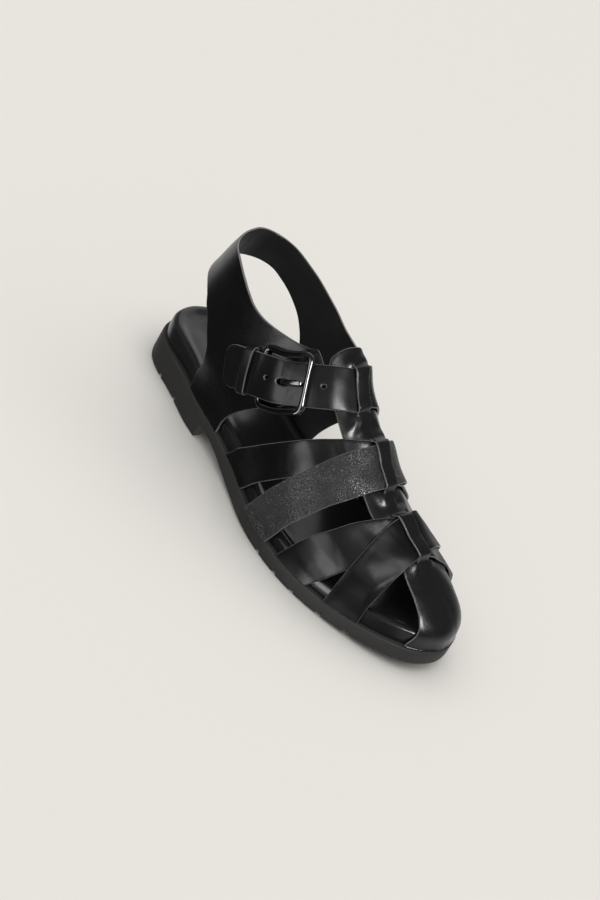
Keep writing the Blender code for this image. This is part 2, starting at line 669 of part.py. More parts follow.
def feather_rows():
    """Feather line in the pattern, lateral and medial, from the ankle fan round to the toe tip."""
    out = {}
    rows = np.arange(28, len(TABLE[1][0]))
    for side in (1, -1):
        arc = TABLE[side][1][rows]
        a = np.radians(90.0 - rows * 1.5)
        b = np.radians((rows - 140) * 2.5)
        y_fore = ANKLE_Y + (rows - 60) / 80.0 * (TOE_Y - ANKLE_Y)
        x = np.where(rows < 60, arc * np.cos(a), np.where(rows > 140, arc * np.cos(b), arc))
        y = np.where(rows < 60, ANKLE_Y - arc * np.sin(a), np.where(rows > 140, TOE_Y + arc * np.sin(b), y_fore))
        out[side] = np.c_[side * x, y]
    return out


FEATHER_LINE = feather_rows()


def feather_point(y, side):
    line = FEATHER_LINE[side]
    return np.array([np.interp(y, line[:, 1], line[:, 0]), y])


def feather_run(y0, y1, side):
    n = max(2, int(round(abs(y1 - y0) / EDGE_STEP)) + 1)
    return np.array([feather_point(y, side) for y in np.linspace(y0, y1, n)])


def back_point(angle, side):
    arc = float(end_arc((90.0 - angle) / 1.5, side))
    a = math.radians(angle)
    return np.array([side * arc * math.cos(a), ANKLE_Y - arc * math.sin(a)])


def chain(*lines):
    pts = [lines[0]]
    for line in lines[1:]:
        start = 1 if np.linalg.norm(line[0] - pts[-1][-1]) < 0.5 else 0
        pts.append(line[start:])
    p = np.vstack(pts)
    if np.linalg.norm(p[0] - p[-1]) < 0.5:
        p = p[:-1]
    return p


def cross_strap(spec):
    rear = smooth_line([feather_point(spec["y_lat"][0], 1), *spec["rear"],
                        feather_point(spec["y_med"][0], -1)], EDGE_STEP)
    front = smooth_line([feather_point(spec["y_lat"][1], 1), *spec["front"],
                         feather_point(spec["y_med"][1], -1)], EDGE_STEP)
    return chain(rear, feather_run(spec["y_med"][0], spec["y_med"][1], -1), front[::-1],
                 feather_run(spec["y_lat"][1], spec["y_lat"][0], 1))


def back_run(side):
    return np.array([back_point(a, side) for a in np.linspace(BACK_LOW, BACK_HIGH, 6)])


def lateral_quarter():
    q = LATERAL_QUARTER
    seam = back_run(1)
    top = smooth_line([seam[-1], *q["top"], feather_point(q["front_y"], 1)], EDGE_STEP)
    rear = smooth_line([feather_point(q["rear_y"], 1), *q["rear"], seam[0]], EDGE_STEP)
    return chain(top, feather_run(q["front_y"], q["rear_y"], 1), rear, seam)


def medial_quarter():
    q = MEDIAL_QUARTER
    seam = back_run(-1)
    top = smooth_line([seam[-1], *q["top"]], EDGE_STEP)
    bottom = smooth_line([*q["bottom"], feather_point(q["front_y"], -1)], EDGE_STEP)
    rear = smooth_line([feather_point(q["rear_y"], -1), *q["rear"], seam[0]], EDGE_STEP)
    return chain(top, bottom, feather_run(q["front_y"], q["rear_y"], -1), rear, seam)


def t_strap():
    q = T_STRAP
    lat = smooth_line([*q["lateral"], feather_point(q["toe_y_lat"], 1)], EDGE_STEP)
    med = smooth_line([feather_point(q["toe_y_med"], -1), *q["medial"]], EDGE_STEP)
    tip = FEATHER_LINE[1][-1, 1]
    toe_l = feather_run(q["toe_y_lat"], tip - 0.4, 1)
    toe_m = feather_run(tip - 0.4, q["toe_y_med"], -1)
    top = smooth_line(q["top"], EDGE_STEP)
    return chain(lat, toe_l, toe_m, med, top)


def inside(points, loop):
    """Even-odd test of many points against one loop."""
    x = points[:, 0]
    y = points[:, 1]
    hit = np.zeros(len(points), bool)
    a = loop
    b = np.roll(loop, -1, axis=0)
    for p, q in zip(a, b):
        cross = (p[1] > y) != (q[1] > y)
        with np.errstate(divide="ignore", invalid="ignore"):
            at = (q[0] - p[0]) * (y - p[1]) / (q[1] - p[1]) + p[0]
        hit ^= cross & (x < at)
    return hit


def triangulate(loops, extra):
    """Constrained triangles over the hull of the loops and the extra points."""
    verts = []
    edges = []
    for loop in loops:
        base = len(verts)
        verts += [Vector((float(p[0]), float(p[1]))) for p in loop]
        edges += [(base + i, base + (i + 1) % len(loop)) for i in range(len(loop))]
    verts += [Vector((float(p[0]), float(p[1]))) for p in extra]
    v, e, f, _, _, _ = delaunay_2d_cdt(verts, edges, [], 0, 0.02, True)
    return np.array([(p.x, p.y) for p in v]), [tuple(t) for t in f]


def boundary_loops(faces):
    edges = {}
    for f in faces:
        for i in range(len(f)):
            edges[(f[i], f[(i + 1) % len(f)])] = True
    nxt = {}
    for a, b in edges:
        if (b, a) not in edges:
            nxt.setdefault(a, []).append(b)
    loops = []
    while nxt:
        start = next(iter(nxt))
        loop = [start]
        while True:
            here = loop[-1]
            to = nxt[here].pop()
            if not nxt[here]:
                del nxt[here]
            if to == start:
                break
            loop.append(to)
        loops.append(loop)
    return loops


def thin_out(loop, fixed):
    """Drop points that crowd a straight stretch of a loop."""
    pts = list(loop)
    i = 0
    while i < len(pts):
        p, a, b = pts[i], pts[i - 1], pts[(i + 1) % len(pts)]
        u = p - a
        w = b - p
        lu, lw = np.linalg.norm(u), np.linalg.norm(w)
        turn = abs(math.degrees(math.atan2(u[0] * w[1] - u[1] * w[0], u @ w)))
        held = any(np.linalg.norm(p - f) < 0.2 for f in fixed)
        if not held and min(lu, lw) < 1.6 and turn < 22.0:
            pts.pop(i)
        else:
            i += 1
    return np.array(pts)


def lattice(loops, step, clear):
    """Hexagonal points at least `clear` away from every loop."""
    allp = np.vstack(loops)
    lo = allp.min(axis=0)
    hi = allp.max(axis=0)
    pts = []
    row = 0
    y = lo[1]
    while y < hi[1]:
        for x in np.arange(lo[0] + (row % 2) * step / 2, hi[0], step):
            pts.append((x, y))
        y += step * 0.866
        row += 1
    pts = np.array(pts)
    near = np.full(len(pts), 1e9)
    for loop in loops:
        a = loop
        b = np.roll(loop, -1, axis=0)
        for p, q in zip(a, b):
            d = q - p
            t = np.clip(((pts - p) @ d) / max(d @ d, 1e-9), 0.0, 1.0)
            near = np.minimum(near, np.linalg.norm(pts - p - t[:, None] * d, axis=1))
    return pts[near > clear]


def sheet(polygons, holes, fixed, step):
    """Mesh the union of flat polygons less the holes: points and triangles, facing +z."""
    v, f = triangulate(polygons, [])
    c = np.array([v[list(t)].mean(axis=0) for t in f])
    keep = np.zeros(len(f), bool)
    for poly in polygons:
        keep |= inside(c, poly)
    loops = [thin_out(v[loop], fixed) for loop in boundary_loops([t for t, k in zip(f, keep) if k])]
    loops = [loop for loop in loops if len(loop) > 2]
    rims = loops + list(holes)
    v, f = triangulate(rims, lattice(rims, step, step * 0.5))
    c = np.array([v[list(t)].mean(axis=0) for t in f])
    keep = np.zeros(len(f), bool)
    for loop in loops:
        keep ^= inside(c, loop)
    for hole in holes:
        keep &= ~inside(c, hole)
    tris = [t for t, k in zip(f, keep) if k]
    used = sorted({i for t in tris for i in t})
    index = {old: new for new, old in enumerate(used)}
    return v[used], [tuple(index[i] for i in t) for t in tris]


def thicken(low, high, tris):
    """Closed shell between two matching skins."""
    n = len(low)
    faces = [(c, b, a) for a, b, c in tris] + [(a + n, b + n, c + n) for a, b, c in tris]
    edges = {(t[i], t[(i + 1) % 3]) for t in tris for i in range(3)}
    for a, b in sorted(edges):
        if (b, a) not in edges:
            faces.append((a, b, b + n, a + n))
    return np.vstack([low, high]), faces


def make_upper():
    seams = np.vstack([back_run(1), back_run(-1)])
    polygons = [lateral_quarter(), medial_quarter(), t_strap()]
    polygons += [cross_strap(s) for s in CROSS_STRAPS.values()]
    flat, tris = sheet(polygons, [], seams, MESH_STEP)
    low = last_point(flat[:, 0], flat[:, 1])
    out = last_normal(flat[:, 0], flat[:, 1])
    # join the two quarters on the back seam
    lat = back_run(1)
    med = back_run(-1)
    index = np.arange(len(flat))
    for p, q in zip(lat, med):
        i = int(np.argmin(np.linalg.norm(flat - p, axis=1)))
        j = int(np.argmin(np.linalg.norm(flat - q, axis=1)))
        index[j] = i
        out[i] = (0.0, out[i][1] + out[j][1], out[i][2] + out[j][2])
        out[i] /= np.linalg.norm(out[i])
    used = sorted(set(index))
    new = {old: k for k, old in enumerate(used)}
    tris = [tuple(new[index[i]] for i in t) for t in tris]
    low = low[used]
    out = out[used]
    high = low + out * LEATHER
    for skin in (low, high):
        skin[:, 2] = np.maximum(skin[:, 2], top_z(skin[:, 1]) + FEATHER_GAP)
    verts, faces = thicken(low, high, tris)
    return make_object("upper", verts, faces, "upper_leather")


# ---------------------------------------------------------------- closure strap and buckle
def closure_band():
    """Middle of the strap on the last: distances, points, directions and normals."""
    knots = np.array(CLOSURE_LINE)
    rows = np.c_[last_point(knots[:, 0], knots[:, 1]), last_normal(knots[:, 0], knots[:, 1])]
    rows = spline(rows, 16)
    p = rows[:, :3]
    s = np.r_[0.0, np.cumsum(np.linalg.norm(np.diff(p, axis=0), axis=1))]
    t = np.gradient(p, s, axis=0)
    return s, p, unit(t), rows[:, 3:]


CLOSURE = closure_band()
CLOSURE_LENGTH = float(CLOSURE[0][-1])


def closure_point(s, w, h):
    """Distance along the strap, across it (toe side +) and over the last, to working axes."""
    s = np.atleast_1d(np.asarray(s, float))
    w = np.atleast_1d(np.asarray(w, float)) * np.ones_like(s)
    h = np.atleast_1d(np.asarray(h, float)) * np.ones_like(s)
    p, t, n = [np.stack([np.interp(s, CLOSURE[0], a[:, k]) for k in range(3)], axis=1) for a in CLOSURE[1:]]
    n = unit(n - t * (n * t).sum(axis=1)[:, None])
    across = unit(np.cross(n, t))
    return p + across * w[:, None] + n * (h - CLOSURE_CUP * w * w)[:, None]


def rounded_strip(start, end, half, radius):
    """Strap outline: square start, tip with rounded corners."""
    pts = [smooth_line(((start, half), (start, 0.0), (start, -half)), EDGE_STEP)]
    mid = (start + end) / 2
    pts.append(smooth_line(((start, -half), (mid, -half), (end - radius, -half)), EDGE_STEP))
    a = np.radians(np.linspace(-90.0, 0.0, 5))
    pts.append(np.c_[end - radius + radius * np.cos(a), -half + radius + radius * np.sin(a)])
    a = np.radians(np.linspace(0.0, 90.0, 5))
    pts.append(np.c_[end - radius + radius * np.cos(a), half - radius + radius * np.sin(a)])
    pts.append(smooth_line(((end - radius, half), (mid, half), (start, half)), EDGE_STEP))
    return chain(*pts)


def ring_hole(s, w, rs, rw, count):
    a = np.linspace(0.0, 2.0 * math.pi, count, endpoint=False)
    return np.c_[s + rs * np.cos(a), w + rw * np.sin(a)]


def slot_hole(s0, s1, half):
    a = np.radians(np.linspace(-90.0, 90.0, 5))
    front = np.c_[s1 - half + half * np.cos(a), half * np.sin(a)]
    back = np.c_[s0 + half - half * np.cos(a), -half * np.sin(a)]
    return np.vstack([front, back])


def make_closure():
    outline = rounded_strip(CLOSURE_FROM, CLOSURE_LENGTH, CLOSURE_HALF, TIP_RADIUS)
    holes = [ring_hole(s, 0.0, PUNCH_RADIUS, PUNCH_RADIUS, 10) for s in PUNCH_ALONG]
    holes.append(slot_hole(*SLOT_ALONG, SLOT_HALF))
    flat, tris = sheet([outline], holes, outline, CLOSURE_STEP)
    rise = np.array(CLOSURE_RISE)
    h = hermite(rise[:, 0], rise[:, 1], flat[:, 0])
    low = closure_point(flat[:, 0], flat[:, 1], h)
    high = closure_point(flat[:, 0], flat[:, 1], h + CLOSURE_LEATHER)
    verts, faces = thicken(low, high, tris)
    return make_object("closure_strap", verts, faces, "closure_leather")


def sweep(path, up, half_a, half_b, count, power, closed):
    """Superellipse section along a path: half_a across, half_b along `up`."""
    n = len(path)
    verts = []
    faces = []
    for i in range(n):
        nxt = path[(i + 1) % n] if closed or i < n - 1 else path[i]
        prv = path[i - 1] if closed or i > 0 else path[i]
        t = nxt - prv
        t = t / np.linalg.norm(t)
        u = up[i] - t * (up[i] @ t)
        u = u / np.linalg.norm(u)
        c = np.cross(t, u)
        for k in range(count):
            a = 2.0 * math.pi * (k + 0.5) / count
            ca = math.copysign(abs(math.cos(a)) ** power, math.cos(a))
            sa = math.copysign(abs(math.sin(a)) ** power, math.sin(a))
            verts.append(path[i] + c * half_a * ca + u * half_b * sa)
    for i in range(n if closed else n - 1):
        j = (i + 1) % n
        for k in range(count):
            m = (k + 1) % count
            faces.append((i * count + k, i * count + m, j * count + m, j * count + k))
    if not closed:
        faces.append(tuple(range(count)))
        faces.append(tuple(range((n - 1) * count, n * count))[::-1])
    return verts, faces


def frame_point(t, w, lift):
    """Frame middle line: 0 at the front bar to 1 at the heel bar, and across."""
    front = (FRONT_BAR[0] + FRONT_BAR[1] * w, FRONT_BAR[2] + FRONT_BAR[3] * w)
    heel = (HEEL_BAR[0] + HEEL_BAR[1] * w, HEEL_BAR[2] + HEEL_BAR[3] * w)
    s = front[0] + (heel[0] - front[0]) * t
    h = front[1] + (heel[1] - front[1]) * t - FRAME_SAG * 4.0 * t * (1.0 - t)
    return closure_point(s, w, h + lift)


def make_frame():
    reach = HEEL_BAR[0] - FRONT_BAR[0]
    r = FRAME_CORNER
    pts = []
    for u, v, a0 in ((1, 1, 0.0), (0, 1, 90.0), (0, -1, 180.0), (1, -1, 270.0)):
        cu = u * reach + (r if u == 0 else -r)
        cw = v * (FRAME_HALF - r)
        for a in np.radians(np.linspace(a0, a0 + 90.0, 4)):
            pts.append((cu + r * math.cos(a), cw + r * math.sin(a)))
    full = []
    for i, p in enumerate(pts):
        q = pts[(i + 1) % len(pts)]
        full.append(p)
        m = int(math.hypot(q[0] - p[0], q[1] - p[1]) // 5.0)
        for k in range(1, m + 1):
            full.append((p[0] + (q[0] - p[0]) * k / (m + 1), p[1] + (q[1] - p[1]) * k / (m + 1)))
    full = np.array(full)
    path = frame_point(full[:, 0] / reach, full[:, 1], 0.0)
    up = frame_point(full[:, 0] / reach, full[:, 1], 1.0) - path
    verts, faces = sweep(path, up, BAR_RADIUS, BAR_RADIUS, 10, 1.0, True)
    return make_object("buckle_frame", verts, faces, "frame_metal")


def make_prong():
    line = smooth_line(PRONG, 1.6)
    path = closure_point(line[:, 0], 0.0, line[:, 1])
    up = closure_point(line[:, 0], 0.0, line[:, 1] + 1.0) - path
    verts, faces = sweep(path, up, PRONG_HALF_WIDTH, PRONG_HALF_THICK, 8, 0.6, False)
    return make_object("buckle_prong", verts, faces, "prong_metal")


def make_keeper():
    low, high = KEEPER_HEIGHTS
    mid = (low + high) / 2
    half_h = (high - low) / 2
    r = 1.6
    loop = []
    for w, h, a0 in ((1, 1, 0.0), (-1, 1, 90.0), (-1, -1, 180.0), (1, -1, 270.0)):
        for a in np.radians(np.linspace(a0, a0 + 90.0, 3)):
            loop.append((w * (KEEPER_REACH - r) + r * math.cos(a), h * (half_h - r) + r * math.sin(a)))
        if w * h > 0:
            for k in (1, 2, 3):
                loop.append(((1 - k / 2) * (KEEPER_REACH - r) * w, h * half_h))
    loop = np.array(loop)
    nxt = np.roll(loop, -1, axis=0) - np.roll(loop, 1, axis=0)
    nxt /= np.linalg.norm(nxt, axis=1)[:, None]
    nor = np.c_[nxt[:, 1], -nxt[:, 0]]
    verts = []
    faces = []
    n = len(loop)
    t = KEEPER_LEATHER / 2
    for ds, dn in ((-KEEPER_HALF, -t), (KEEPER_HALF, -t), (KEEPER_HALF, t), (-KEEPER_HALF, t)):
        p = loop + nor * dn
        verts += list(closure_point(np.full(n, KEEPER_ALONG + ds), p[:, 0], mid + p[:, 1]))
    for k in range(4):
        m = (k + 1) % 4
        for i in range(n):
            j = (i + 1) % n
            faces.append((k * n + i, k * n + j, m * n + j, m * n + i))
    return make_object("keeper", verts, faces, "keeper_leather")


for old in list(bpy.data.objects):
    bpy.data.objects.remove(old, do_unlink=True)

make_outsole()
make_footbed()
make_upper()
make_closure()
make_frame()
make_prong()
make_keeper()
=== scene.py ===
"""Looks of the right-foot fisherman sandal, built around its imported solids.

Working axes are millimetres: x to the lateral side, y from the heel to the toe, z up from the floor.
Pattern coordinates are the last's surface laid flat on the instep: x lateral, y forward.
"""
import math

import bmesh
import bpy
import numpy as np
from mathutils import Matrix, Vector
from mathutils.geometry import delaunay_2d_cdt


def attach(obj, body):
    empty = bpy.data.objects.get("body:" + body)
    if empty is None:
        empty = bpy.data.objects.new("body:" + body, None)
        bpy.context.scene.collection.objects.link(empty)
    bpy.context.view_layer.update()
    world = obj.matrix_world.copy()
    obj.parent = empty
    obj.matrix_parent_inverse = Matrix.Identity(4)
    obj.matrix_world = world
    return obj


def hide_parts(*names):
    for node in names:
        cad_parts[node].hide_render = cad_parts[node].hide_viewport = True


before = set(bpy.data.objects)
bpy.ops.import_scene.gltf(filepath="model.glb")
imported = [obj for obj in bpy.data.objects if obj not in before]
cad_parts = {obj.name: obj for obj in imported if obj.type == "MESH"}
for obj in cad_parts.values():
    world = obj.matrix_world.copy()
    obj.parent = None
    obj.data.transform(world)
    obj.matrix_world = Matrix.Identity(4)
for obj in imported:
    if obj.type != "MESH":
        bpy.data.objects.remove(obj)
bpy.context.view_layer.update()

MM = 0.001
ORIGIN = np.array([3.1, 129.55, 0])  # centre of the footprint in working axes, mm

# ---- sizes of the sole and the last, mm
# Sole outline, a row per station: y from the heel, lateral x, medial x.
OUTLINE = (
    (-0.2, 5.6, -19.2), (4, 11.7, -25.2), (10, 16.6, -30.2), (20, 20.3, -33.9), (38, 23.6, -34.3),
    (60, 29.2, -30.8), (85, 32.2, -25.6), (110, 36.8, -24.2), (140, 45.2, -31), (168, 48.2, -39.2),
    (190, 46.3, -42), (215, 38.9, -40.2), (237, 28.8, -34.7), (250, 20.2, -27.2), (258, 11.4, -17.6),
)
HEEL_POINT = (-7, -2.9)
TOE_POINT = (-3.5, 262)
HEEL_SOLE = 17.9  # outsole height at the heel seat
FORE_SOLE = 9.8  # outsole height under the ball
TOE_SPRING = 6.5
SPRING_FROM = 185
FEATHER_INSET = 2.7  # strap inner face, in from the sole edge
FEATHER_GAP = 0.3
# Ramps: where they start and how long they are, mm.
WAIST_RAMP = (50, 120)  # along the shoe: from the heel's height to the forefoot's
TUCK_RAMP = (6, 28)  # over the sole: from the feather line to the full section
TOE_RAMP = (238, 10)  # along the shoe: the toe piece lifts off the sole
# Last sections ahead of the ankle: y, ridge z, then for the lateral and the medial half:
# belly bulge past the feather, belly height, fullness at the ridge, rise from the belly.
SECTIONS = np.array((
    (106, 107.5, -0.3, 22, 0.50, 0.6, 7, 36, 0.34, 0.40),
    (120, 98, 0, 18, 0.50, 0.6, 5, 30, 0.32, 0.36),
    (135, 87.5, 0, 13, 0.52, 0.6, 3, 24, 0.28, 0.30),
    (155, 75.5, 0, 10, 0.55, 0.6, 1, 16, 0.22, 0.24),
    (175, 65, 0, 9.5, 0.57, 0.6, 0.2, 11, 0.20, 0.22),
    (195, 56, 0, 9.5, 0.60, 0.6, 0, 9.5, 0.24, 0.26),
    (215, 48.5, 0, 9.5, 0.61, 0.6, 0, 9.5, 0.32, 0.34),
    (225, 44.5, 0, 9.5, 0.62, 0.6, 0, 9.5, 0.38, 0.40),
))
RIDGE_X = -5
ANKLE_Y = 106
TOE_Y = 225
TOE_SLOPE = 0.45  # fall of the ridge ahead of TOE_Y
TOE_TIP = (0.35, 0.50, 0.60)  # at the tip: lowering of the belly, fullness, rise
# Ankle sections, a row per fan angle about the instep point: angle, lateral x, medial x,
# distance to the belly, distance to the back, front fullness, rise from the belly.
ANKLE = (
    (15, 31.5, -30, 72, 134, 0.42, 0.57), (30, 31, -31, 70, 136, 0.36, 0.56),
    (45, 30, -30.5, 68, 136, 0.33, 0.55), (60, 28.6, -29.5, 62, 118, 0.3, 0.55),
    (75, 26.6, -27.5, 57, 98.5, 0.28, 0.55), (90, 25, -25.5, 55, 87.5, 0.26, 0.55),
)
ANKLE_LEVEL_BACK = 132
ANKLE_SQUARE = 40  # fan angle from which the back of the ankle is fully round
BACK_FULL = (0.62, 0.6)  # fullness of the back of the ankle, lengthwise and across
FOOT_ANGLE = 52  # fan angle below which a section ends on the sole
# Rows of the table of half sections: ankle fan, fore part, toe fan.
ANKLE_STEP = 1.5  # degrees to a row
TOE_STEP = 2.5
FORE_ROW = 60
FORE_ROWS = 80
TOE_ROW = FORE_ROW + FORE_ROWS
TOE_ROWS = 36
FEATHER_ROW = 28  # first section that ends on the feather line
SEAM_ROW = 14.67  # sections before it end at the back seam
STEP = 1  # between the points of a section, mm
REACH = 170  # points of a section


def smooth(t):
    t = np.clip(t, 0, 1)
    return t * t * (3 - 2 * t)


def ramp(value, start, length):
    return smooth((value - start) / length)


def unit(v):
    return v / np.linalg.norm(v, axis=-1, keepdims=True)


def lengths(c):
    """Distance of each point along its line."""
    return np.r_[0, np.cumsum(np.linalg.norm(np.diff(c, axis=0), axis=1))]


def columns_at(x, xs, table):
    """Every column of a table, read at x."""
    return np.stack([np.interp(x, xs, column) for column in table.T], axis=1)


def resample(c, count):
    d = lengths(c)
    return columns_at(np.linspace(0, d[-1], count), d, c)


def closed(loop):
    return np.vstack([loop, loop[:1]])


def hermite(xs, ys, x):
    """Smooth curve through a table, without overshoot."""
    x = np.atleast_1d(np.asarray(x, float))
    h = np.diff(xs)
    d = np.diff(ys) / h
    w1, w2 = 2 * h[1:] + h[:-1], h[1:] + 2 * h[:-1]
    same = d[:-1] * d[1:] > 0
    before, after = np.where(same, d[:-1], 1), np.where(same, d[1:], 1)
    m = np.r_[d[0], np.where(same, (w1 + w2) / (w1 / before + w2 / after), 0), d[-1]]
    k = np.clip(np.searchsorted(xs, x) - 1, 0, len(h) - 1)
    t = (x - xs[k]) / h[k]
    inner = ((2 * t**3 - 3 * t**2 + 1) * ys[k] + (t**3 - 2 * t**2 + t) * h[k] * m[k]
             + (3 * t**2 - 2 * t**3) * ys[k + 1] + (t**3 - t**2) * h[k] * m[k + 1])
    low = ys[0] + (x - xs[0]) * m[0]
    high = ys[-1] + (x - xs[-1]) * m[-1]
    return np.where(x < xs[0], low, np.where(x > xs[-1], high, inner))


def closed_spline(points, count):
    """Even samples of a closed centripetal Catmull-Rom curve."""
    p = np.asarray(points, float)
    out = []
    for i in range(len(p)):
        q = [p[(i + k) % len(p)] for k in (-1, 0, 1, 2)]
        t1, t2, t3 = np.cumsum([np.linalg.norm(b - a) ** 0.5 for a, b in zip(q, q[1:])])
        t = np.linspace(t1, t2, 24, endpoint=False)[:, None]

        def mix(a, b, ta, tb):
            return (tb - t) / (tb - ta) * a + (t - ta) / (tb - ta) * b

        a1, a2, a3 = mix(q[0], q[1], 0, t1), mix(q[1], q[2], t1, t2), mix(q[2], q[3], t2, t3)
        out.append(mix(mix(a1, a2, 0, t2), mix(a2, a3, t1, t3), t1, t2))
    return resample(closed(np.vstack(out)), count + 1)[:-1]


def outward(ring):
    """Normals on the right of a closed ring."""
    t = unit(np.roll(ring, -1, axis=0) - np.roll(ring, 1, axis=0))
    return np.c_[t[:, 1], -t[:, 0]]


def sole_ring(count, inset=0):
    """Sole outline from the heel point round the lateral side, inset along its normal."""
    lateral = [(r[1], r[0]) for r in OUTLINE]
    medial = [(r[2], r[0]) for r in reversed(OUTLINE)]
    ring = closed_spline([HEEL_POINT, *lateral, TOE_POINT, *medial], count)
    return ring - outward(ring) * inset


def two_sides(ring):
    """Lateral (+1) and medial (-1) run of a ring, each from the heel to the toe."""
    ring = np.roll(ring, -int(np.argmin(ring[:, 1])), axis=0)
    tip = int(np.argmax(ring[:, 1]))
    return {1: ring[:tip + 1], -1: np.vstack([ring[tip:], ring[:1]])[::-1]}


def spring(y, power):
    return TOE_SPRING * np.clip((y - SPRING_FROM) / (TOE_POINT[1] - SPRING_FROM), 0, None) ** power


def top_z(y):
    """Top of the outsole along the shoe."""
    y = np.asarray(y, float)
    return HEEL_SOLE + (FORE_SOLE - HEEL_SOLE) * ramp(y, *WAIST_RAMP) + spring(y, 2)


FEATHER = sole_ring(900, FEATHER_INSET)
FEATHER_SIDES = two_sides(FEATHER)


def feather_x(y, side):
    line = FEATHER_SIDES[side]
    return np.interp(y, line[:, 1], line[:, 0])


def bezier(*points):
    p = np.array(points, float)
    u = np.linspace(0, 1, 90)[:, None]
    return (1 - u) ** 3 * p[0] + 3 * (1 - u) ** 2 * u * p[1] + 3 * (1 - u) * u * u * p[2] + u ** 3 * p[3]


def read_row(table, x, columns):
    return [float(hermite(table[:, 0], table[:, k], x)[0]) for k in columns]


def section(y, side):
    """Ridge height, belly bulge, belly height, fullness and rise of the last at y."""
    return read_row(SECTIONS, y, (1, 2, 3, 4, 5) if side > 0 else (1, 6, 7, 8, 9))


def half_profile(x0, x1, top, belly, foot, full, rise, drop=0):
    """Across and up: from the ridge over the belly, then straight down to the foot."""
    level = top - drop
    arc = bezier((x0, top), (x0 + full * (x1 - x0), level), (x1, belly + rise * (level - belly)), (x1, belly))
    return np.vstack([arc, np.linspace((x1, belly), (x1, foot), 21)[1:]])


def tuck_in(points, side):
    """Bring the lowest part of a section onto the feather line."""
    xo = feather_x(points[:, 1], side)
    g = ramp(points[:, 2] - top_z(points[:, 1]), *TUCK_RAMP)
    points[:, 0] = xo + (points[:, 0] - xo) * g
    return points


def fore_half(y, side):
    top, bulge, high, full, rise = section(y, side)
    foot = float(top_z(y)) + FEATHER_GAP
    c = half_profile(RIDGE_X, float(feather_x(y, side)) + side * bulge, top, foot + high, foot, full, rise)
    return tuck_in(np.c_[c[:, 0], np.full(len(c), y), c[:, 1]], side)


def ankle_table(side):
    """Ankle sections of one side, from the level one that meets the fore part."""
    top, bulge, high, full, rise = section(ANKLE_Y, side)
    foot = float(top_z(ANKLE_Y)) + FEATHER_GAP
    x = float(feather_x(ANKLE_Y, side)) + side * bulge
    return np.array(((0, x, x, top - foot - high, ANKLE_LEVEL_BACK, full, rise), *ANKLE))


ANKLE_TABLES = {side: ankle_table(side) for side in (1, -1)}


def ankle_half(angle, side):
    columns = (1 if side > 0 else 2, 3, 4, 5, 6)
    xs, ws, we, full, rise = read_row(ANKLE_TABLES[side], angle, columns)
    a = np.radians(angle)
    front = bezier((RIDGE_X, 0), (RIDGE_X + full * (xs - RIDGE_X), 0), (xs, ws - rise * ws), (xs, ws))
    back = bezier((xs, ws), (xs, ws + BACK_FULL[0] * (we - ws)),
                  (RIDGE_X + BACK_FULL[1] * (xs - RIDGE_X), we), (RIDGE_X, we))[1:]
    back[:, 0] = xs + (back[:, 0] - xs) * float(smooth(angle / ANKLE_SQUARE))
    c = np.vstack([front, back])
    p = np.c_[c[:, 0], ANKLE_Y - c[:, 1] * np.sin(a), SECTIONS[0, 1] - c[:, 1] * np.cos(a)]
    if angle < FOOT_ANGLE:
        p = tuck_in(p, side)
        low = p[:, 2] - top_z(p[:, 1]) - FEATHER_GAP
        k = np.argmax(low < 0)
        if low[k] < 0:
            f = low[k - 1] / (low[k - 1] - low[k])
            p = np.vstack([p[:k], p[k - 1] + f * (p[k] - p[k - 1])])
    return p


def toe_half(angle, side):
    b = np.radians(angle)
    way = np.array([side * np.cos(b), np.sin(b)])
    centre = np.array([RIDGE_X, TOE_Y])
    top, _, high, full, rise = section(TOE_Y, side)
    front = way[1]
    rel = FEATHER - centre
    nxt = np.roll(rel, -1, axis=0)
    ca, cb = [q[:, 0] * way[1] - q[:, 1] * way[0] for q in (rel, nxt)]
    m = ca * cb <= 0
    t = ca[m] / (ca[m] - cb[m] + 1e-12)
    reach = float(((rel[m] + t[:, None] * (nxt[m] - rel[m])) @ way).max())
    foot = float(top_z(TOE_Y + reach * way[1])) + FEATHER_GAP
    belly = foot + high * (1 - TOE_TIP[0] * front)
    full += (TOE_TIP[1] - full) * front
    rise += (TOE_TIP[2] - rise) * front
    c = half_profile(0, reach, top, belly, foot, full, rise, TOE_SLOPE * front * full * reach)
    return np.c_[centre[0] + c[:, 0] * way[0], centre[1] + c[:, 0] * way[1], c[:, 1]]


def even(points):
    """Points every STEP of arc, run on straight past the end; and the whole arc."""
    d = lengths(points)
    r = np.arange(REACH) * STEP
    out = columns_at(r, d, points)
    past = r > d[-1]
    out[past] = points[-1] + (r[past] - d[-1])[:, None] * unit(points[-1] - points[-4])
    return out, d[-1]


def tabulate(side):
    rows = [ankle_half(90 - k * ANKLE_STEP, side) for k in range(FORE_ROW + 1)]
    rows += [fore_half(y, side) for y in np.linspace(ANKLE_Y, TOE_Y, FORE_ROWS + 1)[1:]]
    rows += [toe_half(k * TOE_STEP, side) for k in range(1, TOE_ROWS + 1)]
    points, ends = zip(*[even(row) for row in rows])
    return np.array(points), np.array(ends)


LATERAL, LATERAL_ENDS = tabulate(1)
MEDIAL, MEDIAL_ENDS = tabulate(-1)
ENDS = {1: LATERAL_ENDS, -1: MEDIAL_ENDS}
ROW_NUMBERS = np.arange(len(LATERAL_ENDS))
# Both halves side by side: column REACH - 1 is the ridge, lateral arcs rise from it.
CHART = np.concatenate([MEDIAL[:, :0:-1], LATERAL], axis=1)
CHART[:, REACH - 1] = (MEDIAL[:, 0] + LATERAL[:, 0]) / 2


